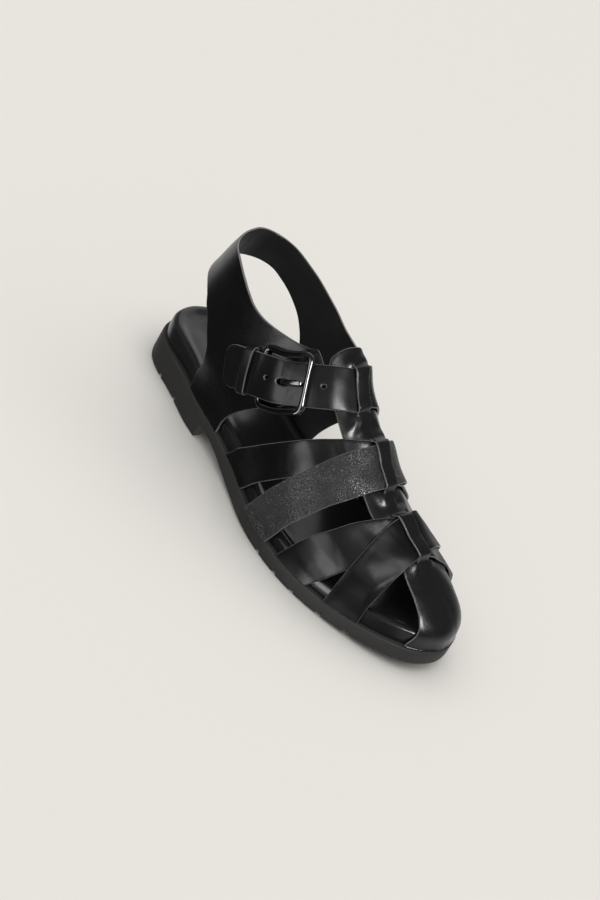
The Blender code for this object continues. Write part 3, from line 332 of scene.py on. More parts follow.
def cubic_weights(t):
    """Catmull-Rom weights of the four neighbours."""
    return np.stack([-0.5 * t + t * t - 0.5 * t ** 3, 1 - 2.5 * t * t + 1.5 * t ** 3,
                     0.5 * t + 2 * t * t - 1.5 * t ** 3, -0.5 * t * t + 0.5 * t ** 3])


def station(x, y):
    """Pattern point to row and arc in the table."""
    away = np.abs(x)
    past = np.maximum(ANKLE_Y - y, y - TOE_Y)
    fan = np.degrees(np.arctan2(past, np.maximum(away, 1e-6)))
    fore = FORE_ROW + (y - ANKLE_Y) / (TOE_Y - ANKLE_Y) * FORE_ROWS
    toe = np.where(y > TOE_Y, TOE_ROW + fan / TOE_STEP, fore)
    row = np.where(y < ANKLE_Y, (90 - fan) / ANKLE_STEP, toe)
    return row, np.where(past > 0, np.hypot(away, past), away)


def last_point(x, y):
    """Pattern points to the last, mm, with a smooth surface between the tabulated rows."""
    row, arc = station(x, y)
    col = REACH - 1 + np.where(x < 0, -arc, arc) / STEP
    near, weights = [], []
    for value, count in ((row, CHART.shape[0]), (col, CHART.shape[1])):
        k = np.clip(value.astype(int), 0, count - 2)
        near.append(np.clip(k + np.arange(-1, 3)[:, None], 0, count - 1))
        weights.append(cubic_weights(value - k))
    return np.einsum("an,bn,abnk->nk", *weights, CHART[near[0][:, None], near[1]])


def last_normal(x, y, e=1.6):
    ahead, aside = last_point(x, y + e) - last_point(x, y - e), last_point(x + e, y) - last_point(x - e, y)
    return unit(np.cross(aside, ahead))


def to_end(x, y):
    """Row of a pattern point, and its distance from the end of its section."""
    row, arc = station(x, y)
    end = np.where(x >= 0, *[np.interp(row, ROW_NUMBERS, ENDS[side]) for side in (1, -1)])
    return row, end - arc


FLARE = 1.2  # how far the strap ends spread on to the sole edge
FLARE_REACH = 6.5
SOLE_GAP = 0.08
TOE_GAP = 1.1  # the toe piece ends a little over the sole


def on_last(x, y, h):
    """Pattern point and height over the last to working axes; ends spread at the feather."""
    row, left = to_end(x, y)
    near = np.where(row >= FEATHER_ROW, 1 - np.clip(left / FLARE_REACH, 0, 1), 0)
    p = last_point(x, y) + last_normal(x, y) * np.reshape(h + FLARE * near ** 2, (-1, 1))
    p[:, 2] = np.maximum(p[:, 2], top_z(p[:, 1]) + SOLE_GAP + TOE_GAP * ramp(p[:, 1], *TOE_RAMP))
    return p


# ---- outlines in the pattern
EDGE_STEP = 1.2
MESH_STEP = 1.35
LEATHER = 1.6
CORNER_STEP = 0.3
JOIN_GAP = 0.3  # a point nearer than this to the one before is left out of a joined loop


def spline(points, count):
    """Open curve through the points, `count` samples to a span."""
    p = np.asarray(points, float)
    p = np.vstack([2 * p[0] - p[1], p, 2 * p[-1] - p[-2]])
    weights = cubic_weights(np.linspace(0, 1, count, endpoint=False))
    spans = np.stack([p[:-3], p[1:-2], p[2:-1], p[3:]])
    return np.vstack([*np.einsum("kc,ksd->scd", weights, spans), p[-2:-1]])


def smooth_line(points, step=EDGE_STEP):
    """Even samples, ends included, of an open curve through the points."""
    c = spline(points, 24)
    return resample(c, max(2, int(round(lengths(c)[-1] / step)) + 1))


def section_end(row, side):
    """Pattern point at the end of a section: on the feather line, or at the back seam."""
    arc = np.interp(row, ROW_NUMBERS, ENDS[side])
    toe = np.maximum(row - TOE_ROW, 0) * TOE_STEP
    fan = np.radians(np.where(row < FORE_ROW, row * ANKLE_STEP - 90, toe))
    along = ANKLE_Y + np.clip((row - FORE_ROW) / FORE_ROWS, 0, 1) * (TOE_Y - ANKLE_Y)
    return np.stack([side * arc * np.cos(fan), along + arc * np.sin(fan)], axis=1)


FEATHER_LINE = {side: section_end(ROW_NUMBERS[FEATHER_ROW:], side) for side in (1, -1)}


def feather_point(y, side):
    line = FEATHER_LINE[side]
    return np.stack([np.interp(y, line[:, 1], line[:, 0]), y], axis=-1)


def feather_run(y0, y1, side):
    return feather_point(np.linspace(y0, y1, max(2, int(round(abs(y1 - y0) / EDGE_STEP)) + 1)), side)


def chain(*lines):
    """Closed loop of lines joined end to end."""
    p = np.vstack(lines)
    return p[np.linalg.norm(p - np.roll(p, 1, axis=0), axis=1) > JOIN_GAP]


def closed_samples(loop, step):
    loop = closed(loop)
    return resample(loop, int(lengths(loop)[-1] / step) + 1)[:-1]


def round_corners(loop, reach):
    """Even closed loop whose corners are rounded over `reach` mm."""
    fine = closed_samples(loop, CORNER_STEP)
    n = int(reach / CORNER_STEP)
    kernel = np.hanning(2 * n + 3)[1:-1]
    soft = closed(sum(w * np.roll(fine, k, axis=0) for k, w in zip(range(-n, n + 1), kernel / kernel.sum())))
    return resample(soft, int(round(lengths(soft)[-1] / EDGE_STEP)) + 1)[:-1]


# Cross straps: y of both corners at the lateral and at the medial end, rear edge, front edge.
CROSS_STRAPS = {
    "rear_strap_outer": (
        (100.4, 125.3), (147, 169),
        ((96.5, 107.5), (71.5, 122.4), (46.5, 137.2), (23.5, 150), (8.5, 156.6), (-8, 158.6), (-30, 158),
         (-52, 154)),
        ((86.5, 132.8), (61.5, 147.6), (40, 161), (20, 173.5), (4, 180.6), (-12, 182.2), (-32, 180.5),
         (-52, 176))),
    "rear_strap_inner": (
        (137.2, 162), (115, 138),
        ((78, 143.5), (60.5, 149.1), (44.5, 153.6), (22.5, 157.4), (4, 159), (-18, 153.5), (-42, 141),
         (-66, 127)),
        ((72.5, 167), (59.5, 171.4), (47.5, 174.4), (31.5, 178.6), (16.5, 180.8), (2, 181.2), (-18, 175.5),
         (-42, 163), (-64, 149))),
    "fore_strap_outer": (
        (171.4, 195.2), (209, 230),
        ((65.5, 178.9), (46.5, 186.3), (30.5, 190.8), (11.5, 196.7), (-6, 200.5), (-28, 204.5)),
        ((63.5, 201.2), (48.5, 207.2), (30, 213.5), (12, 218.6), (-6, 222), (-28, 225.8))),
    "fore_strap_inner": (
        (207.4, 229.6), (177, 199),
        ((50.5, 208.6), (40.5, 207), (29.5, 203.6), (13.5, 198.6), (-6, 194.6), (-28, 189.5)),
        ((36.4, 228.2), (25.5, 225.8), (9.5, 221.2), (-6, 216.6), (-28, 211))),
}
BACK_SEAM = (73.8, 88.2)  # fan angles of the lower and the upper edge of the heel strap at the back
LATERAL_QUARTER = {
    "top": ((5.2, 10), (5.8, 24), (10.2, 34.5), (15.1, 42.7), (19.8, 50.7), (22.7, 60), (23.8, 72),
            (24.4, 88), (23.6, 102), (22.4, 110), (23.4, 117), (30, 121), (42, 119.5), (55, 114),
            (66.5, 106.5), (77.5, 94), (88, 85.4), (98, 81.6)),
    "front_y": 83.2,
    "rear_y": 44.2,
    "rear": ((91.2, 41), (83, 43), (74.8, 43.4), (66.9, 41.6), (60.2, 36), (53.3, 30.1), (47, 22.8),
             (42.4, 18), (39.4, 11.5), (38.2, 2)),
}
MEDIAL_QUARTER = {
    "top": ((-5.4, 12), (-7.2, 25), (-10.2, 37.4), (-12.8, 49.2), (-15.8, 61), (-18.5, 74), (-21, 88),
            (-22.6, 99), (-21, 109), (-14, 117), (-2, 121.5), (5.5, 121.9)),
    "bottom": ((5.5, 140.6), (-4, 141.5), (-22, 137), (-42, 127), (-60, 117), (-78, 110.5)),
    "front_y": 107,
    "rear_y": 70.5,
    "rear": ((-92, 66.5), (-80, 64.5), (-68, 61), (-57, 55.2), (-47.6, 47.3), (-39.7, 36.2), (-34, 24.6),
             (-30.6, 13.4)),
}
CENTRE_STRAP = {
    "lateral": ((20.8, 116.4), (22.4, 126), (22.9, 138), (23, 160), (22.6, 182), (22.2, 192), (19.4, 200),
                (16.2, 208), (15.6, 217), (17.3, 227), (17.6, 240), (18.8, 251), (22.4, 258.5)),
    "toe_y_lat": 263.2,
    "toe_y_med": 263,
    "medial": ((-22.4, 258), (-20, 250), (-18.8, 240), (-18, 228), (-18, 214), (-18.6, 198), (-19.2, 180),
               (-19.4, 160), (-19.4, 138), (-18, 126), (-16, 117)),
    "top": ((-12.6, 114.6), (-6, 113.2), (2, 112.3), (10, 111.6), (17.4, 112.3)),
}
# Bridges of the centre strap over the cross straps: rear and front end of the two slits,
# then x of the medial slit and of the lateral slit at either end.
BRIDGES = (
    ((119.6, 143.2), (-1.2, 4.2), (7, 12.2)),
    ((155.4, 183.4), (0, 4.4), (8.6, 11.6)),
    ((194.6, 222.6), (2.2, 0.2), (11.6, 8.2)),
)
SLIT_HALF = 0.3
SLIT_END = 0.02  # half width at its pointed ends
SLIT_POINTS = 24


def cross_strap(lateral, medial, *edges):
    rear, front = [smooth_line([feather_point(a, 1), *edge, feather_point(b, -1)])
                   for a, b, edge in zip(lateral, medial, edges)]
    return chain(rear, feather_run(*medial, -1), front[::-1], feather_run(*lateral[::-1], 1))


def quarter(spec, side):
    """Quarter with its half of the heel strap; the medial one also has a lower edge to the instep."""
    seam = section_end((90 - np.linspace(*BACK_SEAM, 24)) / ANKLE_STEP, side)
    fore_end = feather_point(spec["front_y"], side)
    if "bottom" in spec:
        top = [smooth_line([seam[-1], *spec["top"]]), smooth_line([*spec["bottom"], fore_end])]
    else:
        top = [smooth_line([seam[-1], *spec["top"], fore_end])]
    rear = smooth_line([feather_point(spec["rear_y"], side), *spec["rear"], seam[0]])
    return chain(*top, feather_run(spec["front_y"], spec["rear_y"], side), rear, seam)


def centre_strap(spec):
    lat = smooth_line([*spec["lateral"], feather_point(spec["toe_y_lat"], 1)])
    med = smooth_line([feather_point(spec["toe_y_med"], -1), *spec["medial"]])
    tip = FEATHER_LINE[1][-1, 1] - 0.4
    toe = (feather_run(spec["toe_y_lat"], tip, 1), feather_run(tip, spec["toe_y_med"], -1))
    return chain(lat, *toe, med, smooth_line(spec["top"]))


PATTERNS = {name: cross_strap(*spec) for name, spec in CROSS_STRAPS.items()}
PATTERNS["medial_quarter"] = quarter(MEDIAL_QUARTER, -1)
PATTERNS["lateral_quarter"] = quarter(LATERAL_QUARTER, 1)
PATTERNS["centre_strap"] = centre_strap(CENTRE_STRAP)


def slit_loop(ys, xs):
    """Narrow cut with pointed ends."""
    x, y, u = np.linspace((xs[0], ys[0], 0), (xs[1], ys[1], math.pi), SLIT_POINTS).T
    half = SLIT_HALF * np.sqrt(np.clip(np.sin(u), 0, 1)) + SLIT_END
    return np.vstack([np.c_[x - half, y], np.c_[x + half, y][::-1]])


# ---- flat meshing
# Cut edge of the leather, from the face to the lining: inset, height as a share of the thickness.
RIM_PROFILE = ((0.62, 1), (0.26, 0.965), (0.07, 0.86), (0, 0.68), (0, 0.3), (0.08, 0.12), (0.3, 0.02),
               (0.62, 0))
EDGE_BANDS = (1, 2, 3)  # bands of the profile that show the cut edge, with its partly painted highlight
ROW_SHARE = 0.866  # row distance of a hexagonal lattice
RIM_CLEAR = 0.55  # lattice points keep this share of a step from every rim
WELD = 1e-5


def inside(points, loop):
    """Even-odd test of many points against one loop."""
    x, y = points.T
    hit = np.zeros(len(points), bool)
    for p, q in zip(loop, np.roll(loop, -1, axis=0)):
        if p[1] != q[1]:
            cross = (p[1] > y) != (q[1] > y)
            hit ^= cross & (x < (q[0] - p[0]) * (y - p[1]) / (q[1] - p[1]) + p[0])
    return hit


def within(points, outer, holes):
    return inside(points, outer) & ~np.any([inside(points, hole) for hole in holes], axis=0)


def edge_distance(points, loops):
    near = np.full(len(points), np.inf)
    for p, q in zip(np.vstack(loops), np.vstack([np.roll(loop, -1, axis=0) for loop in loops])):
        d = q - p
        t = np.clip(((points - p) @ d) / max(d @ d, 1e-9), 0, 1)
        near = np.minimum(near, np.linalg.norm(points - p - t[:, None] * d, axis=1))
    return near


def lattice(outer, holes, step):
    """Hexagonal points inside the outer loop, clear of every rim."""
    lo, hi = outer.min(axis=0), outer.max(axis=0)
    x, y = np.meshgrid(np.arange(lo[0], hi[0], step), np.arange(lo[1], hi[1], step * ROW_SHARE))
    x = x + (np.arange(len(x)) % 2)[:, None] * step / 2
    pts = np.c_[x.ravel(), y.ravel()]
    pts = pts[within(pts, outer, holes)]
    return pts[edge_distance(pts, [outer, *holes]) > step * RIM_CLEAR]


def shift_loop(loop, by):
    """Loop moved to its left by `by`."""
    return loop - outward(loop) * np.reshape(by, (-1, 1))


def wind(loop, counter_clockwise):
    x, y = loop.T
    area = (x * np.roll(y, -1) - y * np.roll(x, -1)).sum()
    return loop if (area > 0) == counter_clockwise else loop[::-1]


def to_frame(p):
    return (np.asarray(p, float) - ORIGIN) * MM


def put_in_scene(name, data):
    obj = bpy.data.objects.new(name, data)
    bpy.context.scene.collection.objects.link(obj)
    return obj


def finish_mesh(name, bm, materials):
    for face in bm.faces:
        face.smooth = True
    mesh = bpy.data.meshes.new(name)
    bm.to_mesh(mesh)
    bm.free()
    for material in materials:
        mesh.materials.append(material)
    return put_in_scene(name, mesh)


def panel(name, outline, holes, place, height, materials, thick=LEATHER, step=MESH_STEP, tight=None):
    """Closed leather panel with rounded cut edges.

    outline and holes are loops in flat coordinates, place(u, v, h) brings a flat point to working axes,
    height(u, v) is the lining's height, and tight(u, v) narrows the rounding where two panels butt.
    """
    loops = [wind(outline, True), *[wind(hole, False) for hole in holes]]
    width = [tight(*p.T) if tight else np.ones(len(p)) for p in loops]
    rims = [shift_loop(p, RIM_PROFILE[0][0] * w) for p, w in zip(loops, width)]
    starts = [sum(map(len, rims[:k])) for k in range(len(rims))]
    edges = [(base + i, base + (i + 1) % len(rim))
             for base, rim in zip(starts, rims) for i in range(len(rim))]
    flat = np.vstack([*rims, lattice(rims[0], rims[1:], step)])
    points, _, tris, *_ = delaunay_2d_cdt([Vector(p) for p in flat.tolist()], edges, [], 0, WELD, True)
    flat = np.array([tuple(p) for p in points])
    tris = np.array(tris)
    tris = tris[within(flat[tris].mean(axis=1), rims[0], rims[1:])]
    bm = bmesh.new()

    def lay(p, h):
        return [bm.verts.new(q) for q in to_frame(place(*p.T, h)).tolist()]

    h = height(*flat.T)
    face, lining = lay(flat, h + thick), lay(flat, h)
    for a, b, c in tris.tolist():
        bm.faces.new((face[a], face[b], face[c]))
        bm.faces.new((lining[c], lining[b], lining[a])).material_index = len(materials) - 1
    for base, loop, w, rim in zip(starts, loops, width, rims):
        n = len(loop)
        h = height(*rim.T)
        rings = [lay(shift_loop(loop, inset * w), h + share * thick) for inset, share in RIM_PROFILE[1:-1]]
        rings = [face[base:base + n], *rings, lining[base:base + n]]
        for k, (a, b) in enumerate(zip(rings, rings[1:])):
            for i in range(n):
                j = (i + 1) % n
                bm.faces.new((a[j], a[i], b[i], b[j])).material_index = int(k in EDGE_BANDS)
    bmesh.ops.delete(bm, geom=[v for v in bm.verts if not v.link_faces], context="VERTS")
    return finish_mesh(name, bm, materials)


def mesh_piece(name, verts, faces, materials, sharp=None):
    """Piece from points in working axes, faces turned outward."""
    bm = bmesh.new()
    vs = [bm.verts.new(p) for p in to_frame(verts).tolist()]
    for f in faces:
        bm.faces.new([vs[i] for i in f])
    bmesh.ops.recalc_face_normals(bm, faces=bm.faces[:])
    obj = finish_mesh(name, bm, materials)
    if sharp:
        obj.data.set_sharp_from_angle(angle=math.radians(sharp))
    return obj


# ---- how the straps lie on each other
CELL = 0.5
FIELD_X = np.arange(-62, 62, CELL)
FIELD_Y = np.arange(92, 284, CELL)
CX, CY = np.meshgrid(FIELD_X, FIELD_Y)
CLEAR = 0.12  # play between two layers
PUCKER = 2  # how far the leather is pulled up at the end of a slit
PUCKER_REACH = 2.9
OVER_ONE = (3.2, 2)  # reach and softness of a strap laid over the centre strap's sides
OVER_TWO = (4.4, 3.1)  # and of one laid over another strap too
CLOSURE_AT_BRIDGE = 4.1  # face height of the buckle strap where it comes out from under the first bridge
BRIDGE_CELLS = 3  # a bridge stands clear this many cells before and after what it holds down
BRIDGE_SOFT = 2.2
BRIDGE_RAMP = 2.6


def covers(loop):
    return inside(np.c_[CX.ravel(), CY.ravel()], loop).reshape(CX.shape)


def grow(field, reach):
    """Largest value within `reach` mm."""
    n = int(round(reach / CELL))
    out = field
    for dy in range(-n, n + 1):
        for dx in range(-n, n + 1):
            if 0 < dx * dx + dy * dy <= n * n + 1:
                out = np.maximum(out, np.roll(field, (dy, dx), axis=(0, 1)))
    return out


def soften(field, sigma):
    n = int(3 * sigma / CELL) + 1
    k = np.exp(-0.5 * (np.arange(-n, n + 1) * CELL / sigma) ** 2)
    k /= k.sum()

    def blur(row):
        return np.convolve(np.pad(row, n, mode="edge"), k, mode="valid")

    return np.apply_along_axis(blur, 1, np.apply_along_axis(blur, 0, field))


def sample(field, x, y):
    """Bilinear value of a field, clamped at its border."""
    u = np.clip((x - FIELD_X[0]) / CELL, 0, CX.shape[1] - 1.001)
    v = np.clip((y - FIELD_Y[0]) / CELL, 0, CX.shape[0] - 1.001)
    i, j = v.astype(int), u.astype(int)
    a, b = v - i, u - j
    return ((field[i, j] * (1 - b) + field[i, j + 1] * b) * (1 - a)
            + (field[i + 1, j] * (1 - b) + field[i + 1, j + 1] * b) * a)


def drape(support, reach, sigma):
    """Lining height of stiff leather laid over a support."""
    height, held = [soften(grow(field, reach), sigma) for field in (support, (support > 0).astype(float))]
    return height + CLEAR * held


def slit_pull(x, y):
    """Height of the centre strap where the ends of its slits pull it up."""
    ends = [end for bridge in BRIDGES for end in zip(*bridge)]
    near = np.min([np.hypot(x - np.clip(x, low, high), y - at) for at, low, high in ends], axis=0)
    return PUCKER * np.exp(-0.5 * (near / PUCKER_REACH) ** 2)


def under_bridge(x, y):
    """Which bridge a pattern point belongs to, or -1."""
    out = np.full(np.shape(x), -1)
    for k, (ys, medial, lateral) in enumerate(BRIDGES):
        across = (x > np.interp(y, ys, medial)) & (x < np.interp(y, ys, lateral))
        out[(y > ys[0]) & (y < ys[1]) & across] = k
    return out


WINDOWS = under_bridge(CX, CY)
CENTRE_SIDES = np.where(covers(PATTERNS["centre_strap"]) & (WINDOWS < 0), LEATHER + slit_pull(CX, CY), 0)
# Straps over the centre strap's sides, and the strap under each.
BELOW = {"rear_strap_outer": None, "rear_strap_inner": "rear_strap_outer", "fore_strap_outer": None,
         "fore_strap_inner": "fore_strap_outer", "medial_quarter": None}
# Straps under each bridge.
STACKS = (("medial_quarter",), ("rear_strap_outer", "rear_strap_inner"),
          ("fore_strap_outer", "fore_strap_inner"))
LINING = {}  # lining height of each strap over the last
TOP = {}  # its face height where it lies, else nothing
OVER_CENTRE = drape(CENTRE_SIDES, *OVER_ONE)
for strap_name, under in BELOW.items():
    LINING[strap_name] = drape(np.maximum(CENTRE_SIDES, TOP[under]), *OVER_TWO) if under else OVER_CENTRE
    TOP[strap_name] = np.where(covers(PATTERNS[strap_name]), LINING[strap_name] + LEATHER, 0)


def bridge_profile(k):
    """Lining height of a bridge along y: straight across, tight over what it holds down."""
    y0, y1 = BRIDGES[k][0]
    top = np.maximum.reduce([TOP[name] for name in STACKS[k]])
    strip = np.where(WINDOWS == k, top, 0).max(axis=1)
    if k == 0:
        strip = np.where(strip > 0.5, np.maximum(strip, CLOSURE_AT_BRIDGE), 0)
    wide = np.max([np.roll(strip, s) for s in range(-BRIDGE_CELLS, BRIDGE_CELLS + 1)], axis=0)
    kernel = np.exp(-0.5 * (np.arange(-6, 7) / BRIDGE_SOFT) ** 2)
    wide = np.convolve(wide, kernel / kernel.sum(), mode="same")
    return PUCKER + (np.maximum(wide + CLEAR, PUCKER) - PUCKER) * smooth(
        np.minimum(FIELD_Y - y0, y1 - FIELD_Y) / BRIDGE_RAMP)


BRIDGE_LINING = [bridge_profile(k) for k in range(len(BRIDGES))]
# Creases, listed one by one, and soft bumps where the depth is negative:
# pattern x, y, direction in degrees, half length, half width, depth.
CREASES = {
    "centre_strap": (
        (12.5, 146, 60, 3.2, 0.7, 0.3), (8.5, 147.5, 85, 3.4, 0.8, 0.26), (15, 144.6, 35, 2.6, 0.6, 0.25),
        (3.2, 146.8, 100, 3, 0.7, 0.24), (10.5, 186.8, 70, 3, 0.8, 0.26), (5, 187, 95, 3, 0.8, 0.22),
        (9.5, 151.6, 100, 2.6, 0.7, 0.22), (4.5, 152, 80, 2.4, 0.7, 0.2), (12.4, 190.4, 110, 2.6, 0.7, 0.22),
        (6, 116, 90, 2.6, 0.8, 0.25), (3, 226.6, 95, 4, 1, 0.22), (8, 226.4, 75, 3.6, 0.9, 0.22),
        (13, 147.6, 0, 6.5, 3.4, -1), (9.8, 188.2, 0, 5, 3.3, -1.2), (2, 236, 0, 9, 1.2, 0.12),
        (4, 244, 8, 10, 1.4, 0.12), (0, 240, -6, 8, 1.1, 0.08),
    ),
    "rear_strap_outer": (
        (30, 158, 80, 8, 1.4, 0.1), (14, 160, 70, 4, 0.9, 0.14), (60, 136, 65, 9, 1.8, 0.08),
        (-12, 168, 95, 8, 1.2, 0.12),
    ),
    "rear_strap_inner": (
        (36, 165, 85, 8, 1.6, 0.08), (16, 170, 80, 7, 1.3, 0.12), (58, 160, 88, 8, 1.8, 0.08),
        (-8, 167, 100, 7, 1.2, 0.12),
    ),
    "fore_strap_outer": (
        (30, 202, 75, 8, 1.6, 0.09), (16, 207, 72, 7, 1.2, 0.12), (48, 198, 78, 8, 1.8, 0.08),
    ),
    "fore_strap_inner": (
        (26, 214, 120, 9, 1.8, 0.14), (15, 208, 115, 8, 1.3, 0.14), (38, 218, 120, 8, 1.7, 0.1),
        (33, 209, 20, 6, 1.4, 0.1),
    ),
    "medial_quarter": (
        (-22, 122, 70, 10, 2, 0.16), (-30, 112, 55, 12, 2.4, 0.14), (-14, 128, 80, 8, 1.5, 0.14),
    ),
    "lateral_quarter": ((34, 112, 60, 9, 2, 0.06),),
}
# Slow unevenness of cut leather: wave vectors per mm and phases, drawn once.
WAVES = np.random.default_rng(7).normal(0, 0.055, (14, 2))
WAVE_PHASES = np.random.default_rng(8).uniform(0, 2 * math.pi, 14)
WAVE_SHARE = 2.6  # the sum of the waves is divided by this
TURN = 6.28
WAVINESS = 0.05  # height of the waves of a strap, mm
QUARTER_WAVINESS = 0.02
CENTRE_FOLDS = 1.25  # creases and waves are deeper on the centre strap
BRIDGE_FOLDS = 0.3  # and shallow on its bridges
SEAM_REACH = 1.2  # rims this near to the back seam
SEAM_ROUNDING = 0.2  # keep this share of their rounding


def press(h, creases, x, y):
    for cx, cy, way, half_length, half_width, depth in creases:
        a = math.radians(way)
        along = (x - cx) * math.cos(a) + (y - cy) * math.sin(a)
        across = -(x - cx) * math.sin(a) + (y - cy) * math.cos(a)
        h = h - depth * np.exp(-(across / half_width) ** 2 - (along / half_length) ** 4)
    return h


def creasing(name, x, y, waviness=WAVINESS):
    turns = np.outer(x, WAVES[:, 0] * TURN) + np.outer(y, WAVES[:, 1] * TURN) + WAVE_PHASES
    return press(waviness * np.cos(turns).sum(axis=1) / WAVE_SHARE, CREASES[name], x, y)


def centre_height(x, y):
    folds = creasing("centre_strap", x, y)
    h = slit_pull(x, y) + CENTRE_FOLDS * folds
    which = under_bridge(x, y)
    for k, row in enumerate(BRIDGE_LINING):
        h = np.where(which == k, np.interp(y, FIELD_Y, row) + BRIDGE_FOLDS * folds, h)
    return h


def lining_height(name):
    """Lining height of a panel of the upper, as a function of the pattern point."""
    if name == "centre_strap":
        return centre_height
    if name in LINING:
        return lambda x, y: sample(LINING[name], x, y) + creasing(name, x, y)
    return lambda x, y: creasing(name, x, y, QUARTER_WAVINESS)


def seam_tight(x, y):
    """Rounding is narrow where the two quarters butt at the back seam."""
    row, left = to_end(x, y)
    return np.where((row < SEAM_ROW) & (np.abs(left) < SEAM_REACH), SEAM_ROUNDING, 1)


# ---- buckle strap, frame, prong, keeper
CLOSURE_LINE = np.array(((6.8, 132.2), (14.8, 128.8), (22.8, 124.6), (35.5, 116.2), (49, 106),
                         (53.1, 88.9), (57.4, 74.2), (63.4, 61.6)))
CLOSURE_FROM = 0.4
CLOSURE_HALF = 12.2
CLOSURE_CUP = 0.0050  # how the strap follows the foot across its width
CUP_FROM = (6, 8)  # ramps along the strap
CUP_FADE = (70, 12)
CLOSURE_LEATHER = 1.9
CLOSURE_STEP = 1.1
CLOSURE_WAVE = 0.05  # height of its slow waves
WAVE_ALONG, WAVE_SKEW, WAVE_ACROSS = 0.33, 0.21, 0.35  # their turns, radians per mm
TIP_RADIUS = 7
# Height of the strap's lining over the last: distance along, height.
CLOSURE_RISE = np.array((
    (0, 2.1), (5, 2.4), (10, 3), (14, 3.2), (20, 3.05), (27, 3), (33, 3.3), (37, 3.7), (40, 4.5),
    (43, 5.5), (47, 6.2), (52, 6.4), (59.5, 6.4), (62, 5.6), (64, 4.9), (70, 4.7), (75, 3.6), (85, 2.9),
))
PUNCH_ALONG = (19, 49.6)
PUNCH_RADIUS = 1.25
PUNCH_DIP = (0.22, 1.9)  # how far the leather sinks round a punched hole, and within what radius
SLOT_ALONG = (37.4, 43.2)
SLOT_HALF = 1.9
FRONT_BAR = (27, 0.06, 8.8, -0.06)  # distance along and its slope, height and its slope
HEEL_BAR = (56.7, -0.19, 4.25, 0)
FRAME_SAG = 0.9
FRAME_HALF = 15.9
BAR_RADIUS = 1.4
BAR_SWELL = 0.65  # the side bars are stouter
SWELL_RAMP = (0.35, 0.6)  # across the frame, as shares of its half width
FRAME_CORNER = 3.6
FRAME_STEP, PRONG_STEP, KEEPER_STEP = 0.9, 0.5, 0.7  # between swept sections
# Prong from the heel bar to its tip: distance along, height.
PRONG = ((54.3, 4.1), (50, 4.1), (46, 4), (43.2, 4.1), (41.6, 5), (40, 6.7), (38.4, 7.9), (36, 8.4),
         (33, 8.6), (29.2, 8.6))
PRONG_HALF_WIDTH = 1.4
PRONG_HALF_THICK = 0.85
PRONG_TIP = 0.9  # length of the rounded end
PRONG_TAPER = 0.18
PRONG_BLUNT = 0.12  # square of the section's share of its full size at the very tip
KEEPER_ALONG = 66.8
KEEPER_HALF = 2.6
KEEPER_LEATHER = 1.3
KEEPER_REACH = 13.5
KEEPER_HEIGHTS = (2.95, 8.4)
KEEPER_CORNER = 1.9
KEEPER_CROWN = (0.25, 2.2)  # upper side: how far it is crowned, and the cosine's angle at its ends
KEEPER_DROP = 0.2  # and how far the whole of it is pressed down
KEEPER_EDGE = 0.85  # faces farther to the side of the section than this share show the cut edge, with its partly painted highlight
SECTION_POINTS = 28  # points round a swept section
ROUND, SQUARE, FLAT = 0.92, 0.5, 0.36  # how boxy a swept section is
# Creases of the buckle strap: along, across, direction, half length, half width, depth.
CLOSURE_CREASES = (
    (38, 5.5, 75, 3.6, 0.8, 0.14), (40.5, -6, 105, 3.4, 1, 0.06), (35, 7, 60, 2.6, 0.7, 0.12),
    (30.5, 0, 90, 11, 1.6, 0.06), (46, 4, 95, 5, 1.4, 0.04), (12, 0, 90, 12, 2.2, 0.04),
    (61.6, 0, 90, 11, 1.6, 0.04), (22.5, -4, 80, 5, 1.6, 0.03),
)


def closure_band():
    """Middle of the strap on the last: distances, points, directions and normals."""
    x, y = CLOSURE_LINE.T
    rows = spline(np.c_[last_point(x, y), last_normal(x, y)], 60)
    s = lengths(rows[:, :3])
    return s, rows[:, :3], unit(np.gradient(rows[:, :3], s, axis=0)), rows[:, 3:]


CLOSURE = closure_band()
CLOSURE_LENGTH = float(CLOSURE[0][-1])


def closure_point(s, w, h):
    """Distance along the strap, across it (toe side +) and over the last, to working axes."""
    s = np.asarray(s, float)
    w, h = w * np.ones_like(s), h * np.ones_like(s)
    p, t, n = [columns_at(s, CLOSURE[0], a) for a in CLOSURE[1:]]
    n = unit(n - t * (n * t).sum(axis=1)[:, None])
    cup = CLOSURE_CUP * ramp(s, *CUP_FROM) * (1 - 0.7 * ramp(s, *CUP_FADE))
    return p + unit(np.cross(n, t)) * w[:, None] + n * (h - cup * w * w)[:, None]


def closure_height(s, w):
    wave = CLOSURE_WAVE * np.sin(s * WAVE_ALONG + w * WAVE_SKEW) * np.cos(w * WAVE_ACROSS)
    h = press(hermite(*CLOSURE_RISE.T, s) + wave, CLOSURE_CREASES, s, w)
    for hole in PUNCH_ALONG:
        h = h - PUNCH_DIP[0] * np.exp(-(np.hypot(s - hole, w) / PUNCH_DIP[1]) ** 2)
    return h


def arc_points(cx, cy, radius, start, stop, count):
    a = np.radians(np.linspace(start, stop, count))
    return np.c_[cx + radius * np.cos(a), cy + radius * np.sin(a)]


def closure_outline():
    end, half, r = CLOSURE_LENGTH, CLOSURE_HALF, TIP_RADIUS
    side = np.arange(CLOSURE_FROM, end - r, EDGE_STEP)
    start = np.linspace(half, -half, 20)[1:-1]
    edge = np.c_[side, np.full_like(side, half)]
    return chain(edge * (1, -1), arc_points(end - r, r - half, r, -90, 0, 10),
                 arc_points(end - r, half - r, r, 0, 90, 10), edge[::-1],
                 np.c_[np.full_like(start, CLOSURE_FROM), start])


def ring_faces(rings, n, joined=False):
    """Quads between rings of n points; when joined the last ring meets the first."""
    pairs = [(k * n, (k + 1) % rings * n) for k in range(rings - 1 + joined)]
    return [(a + i, a + (i + 1) % n, b + (i + 1) % n, b + i) for a, b in pairs for i in range(n)]


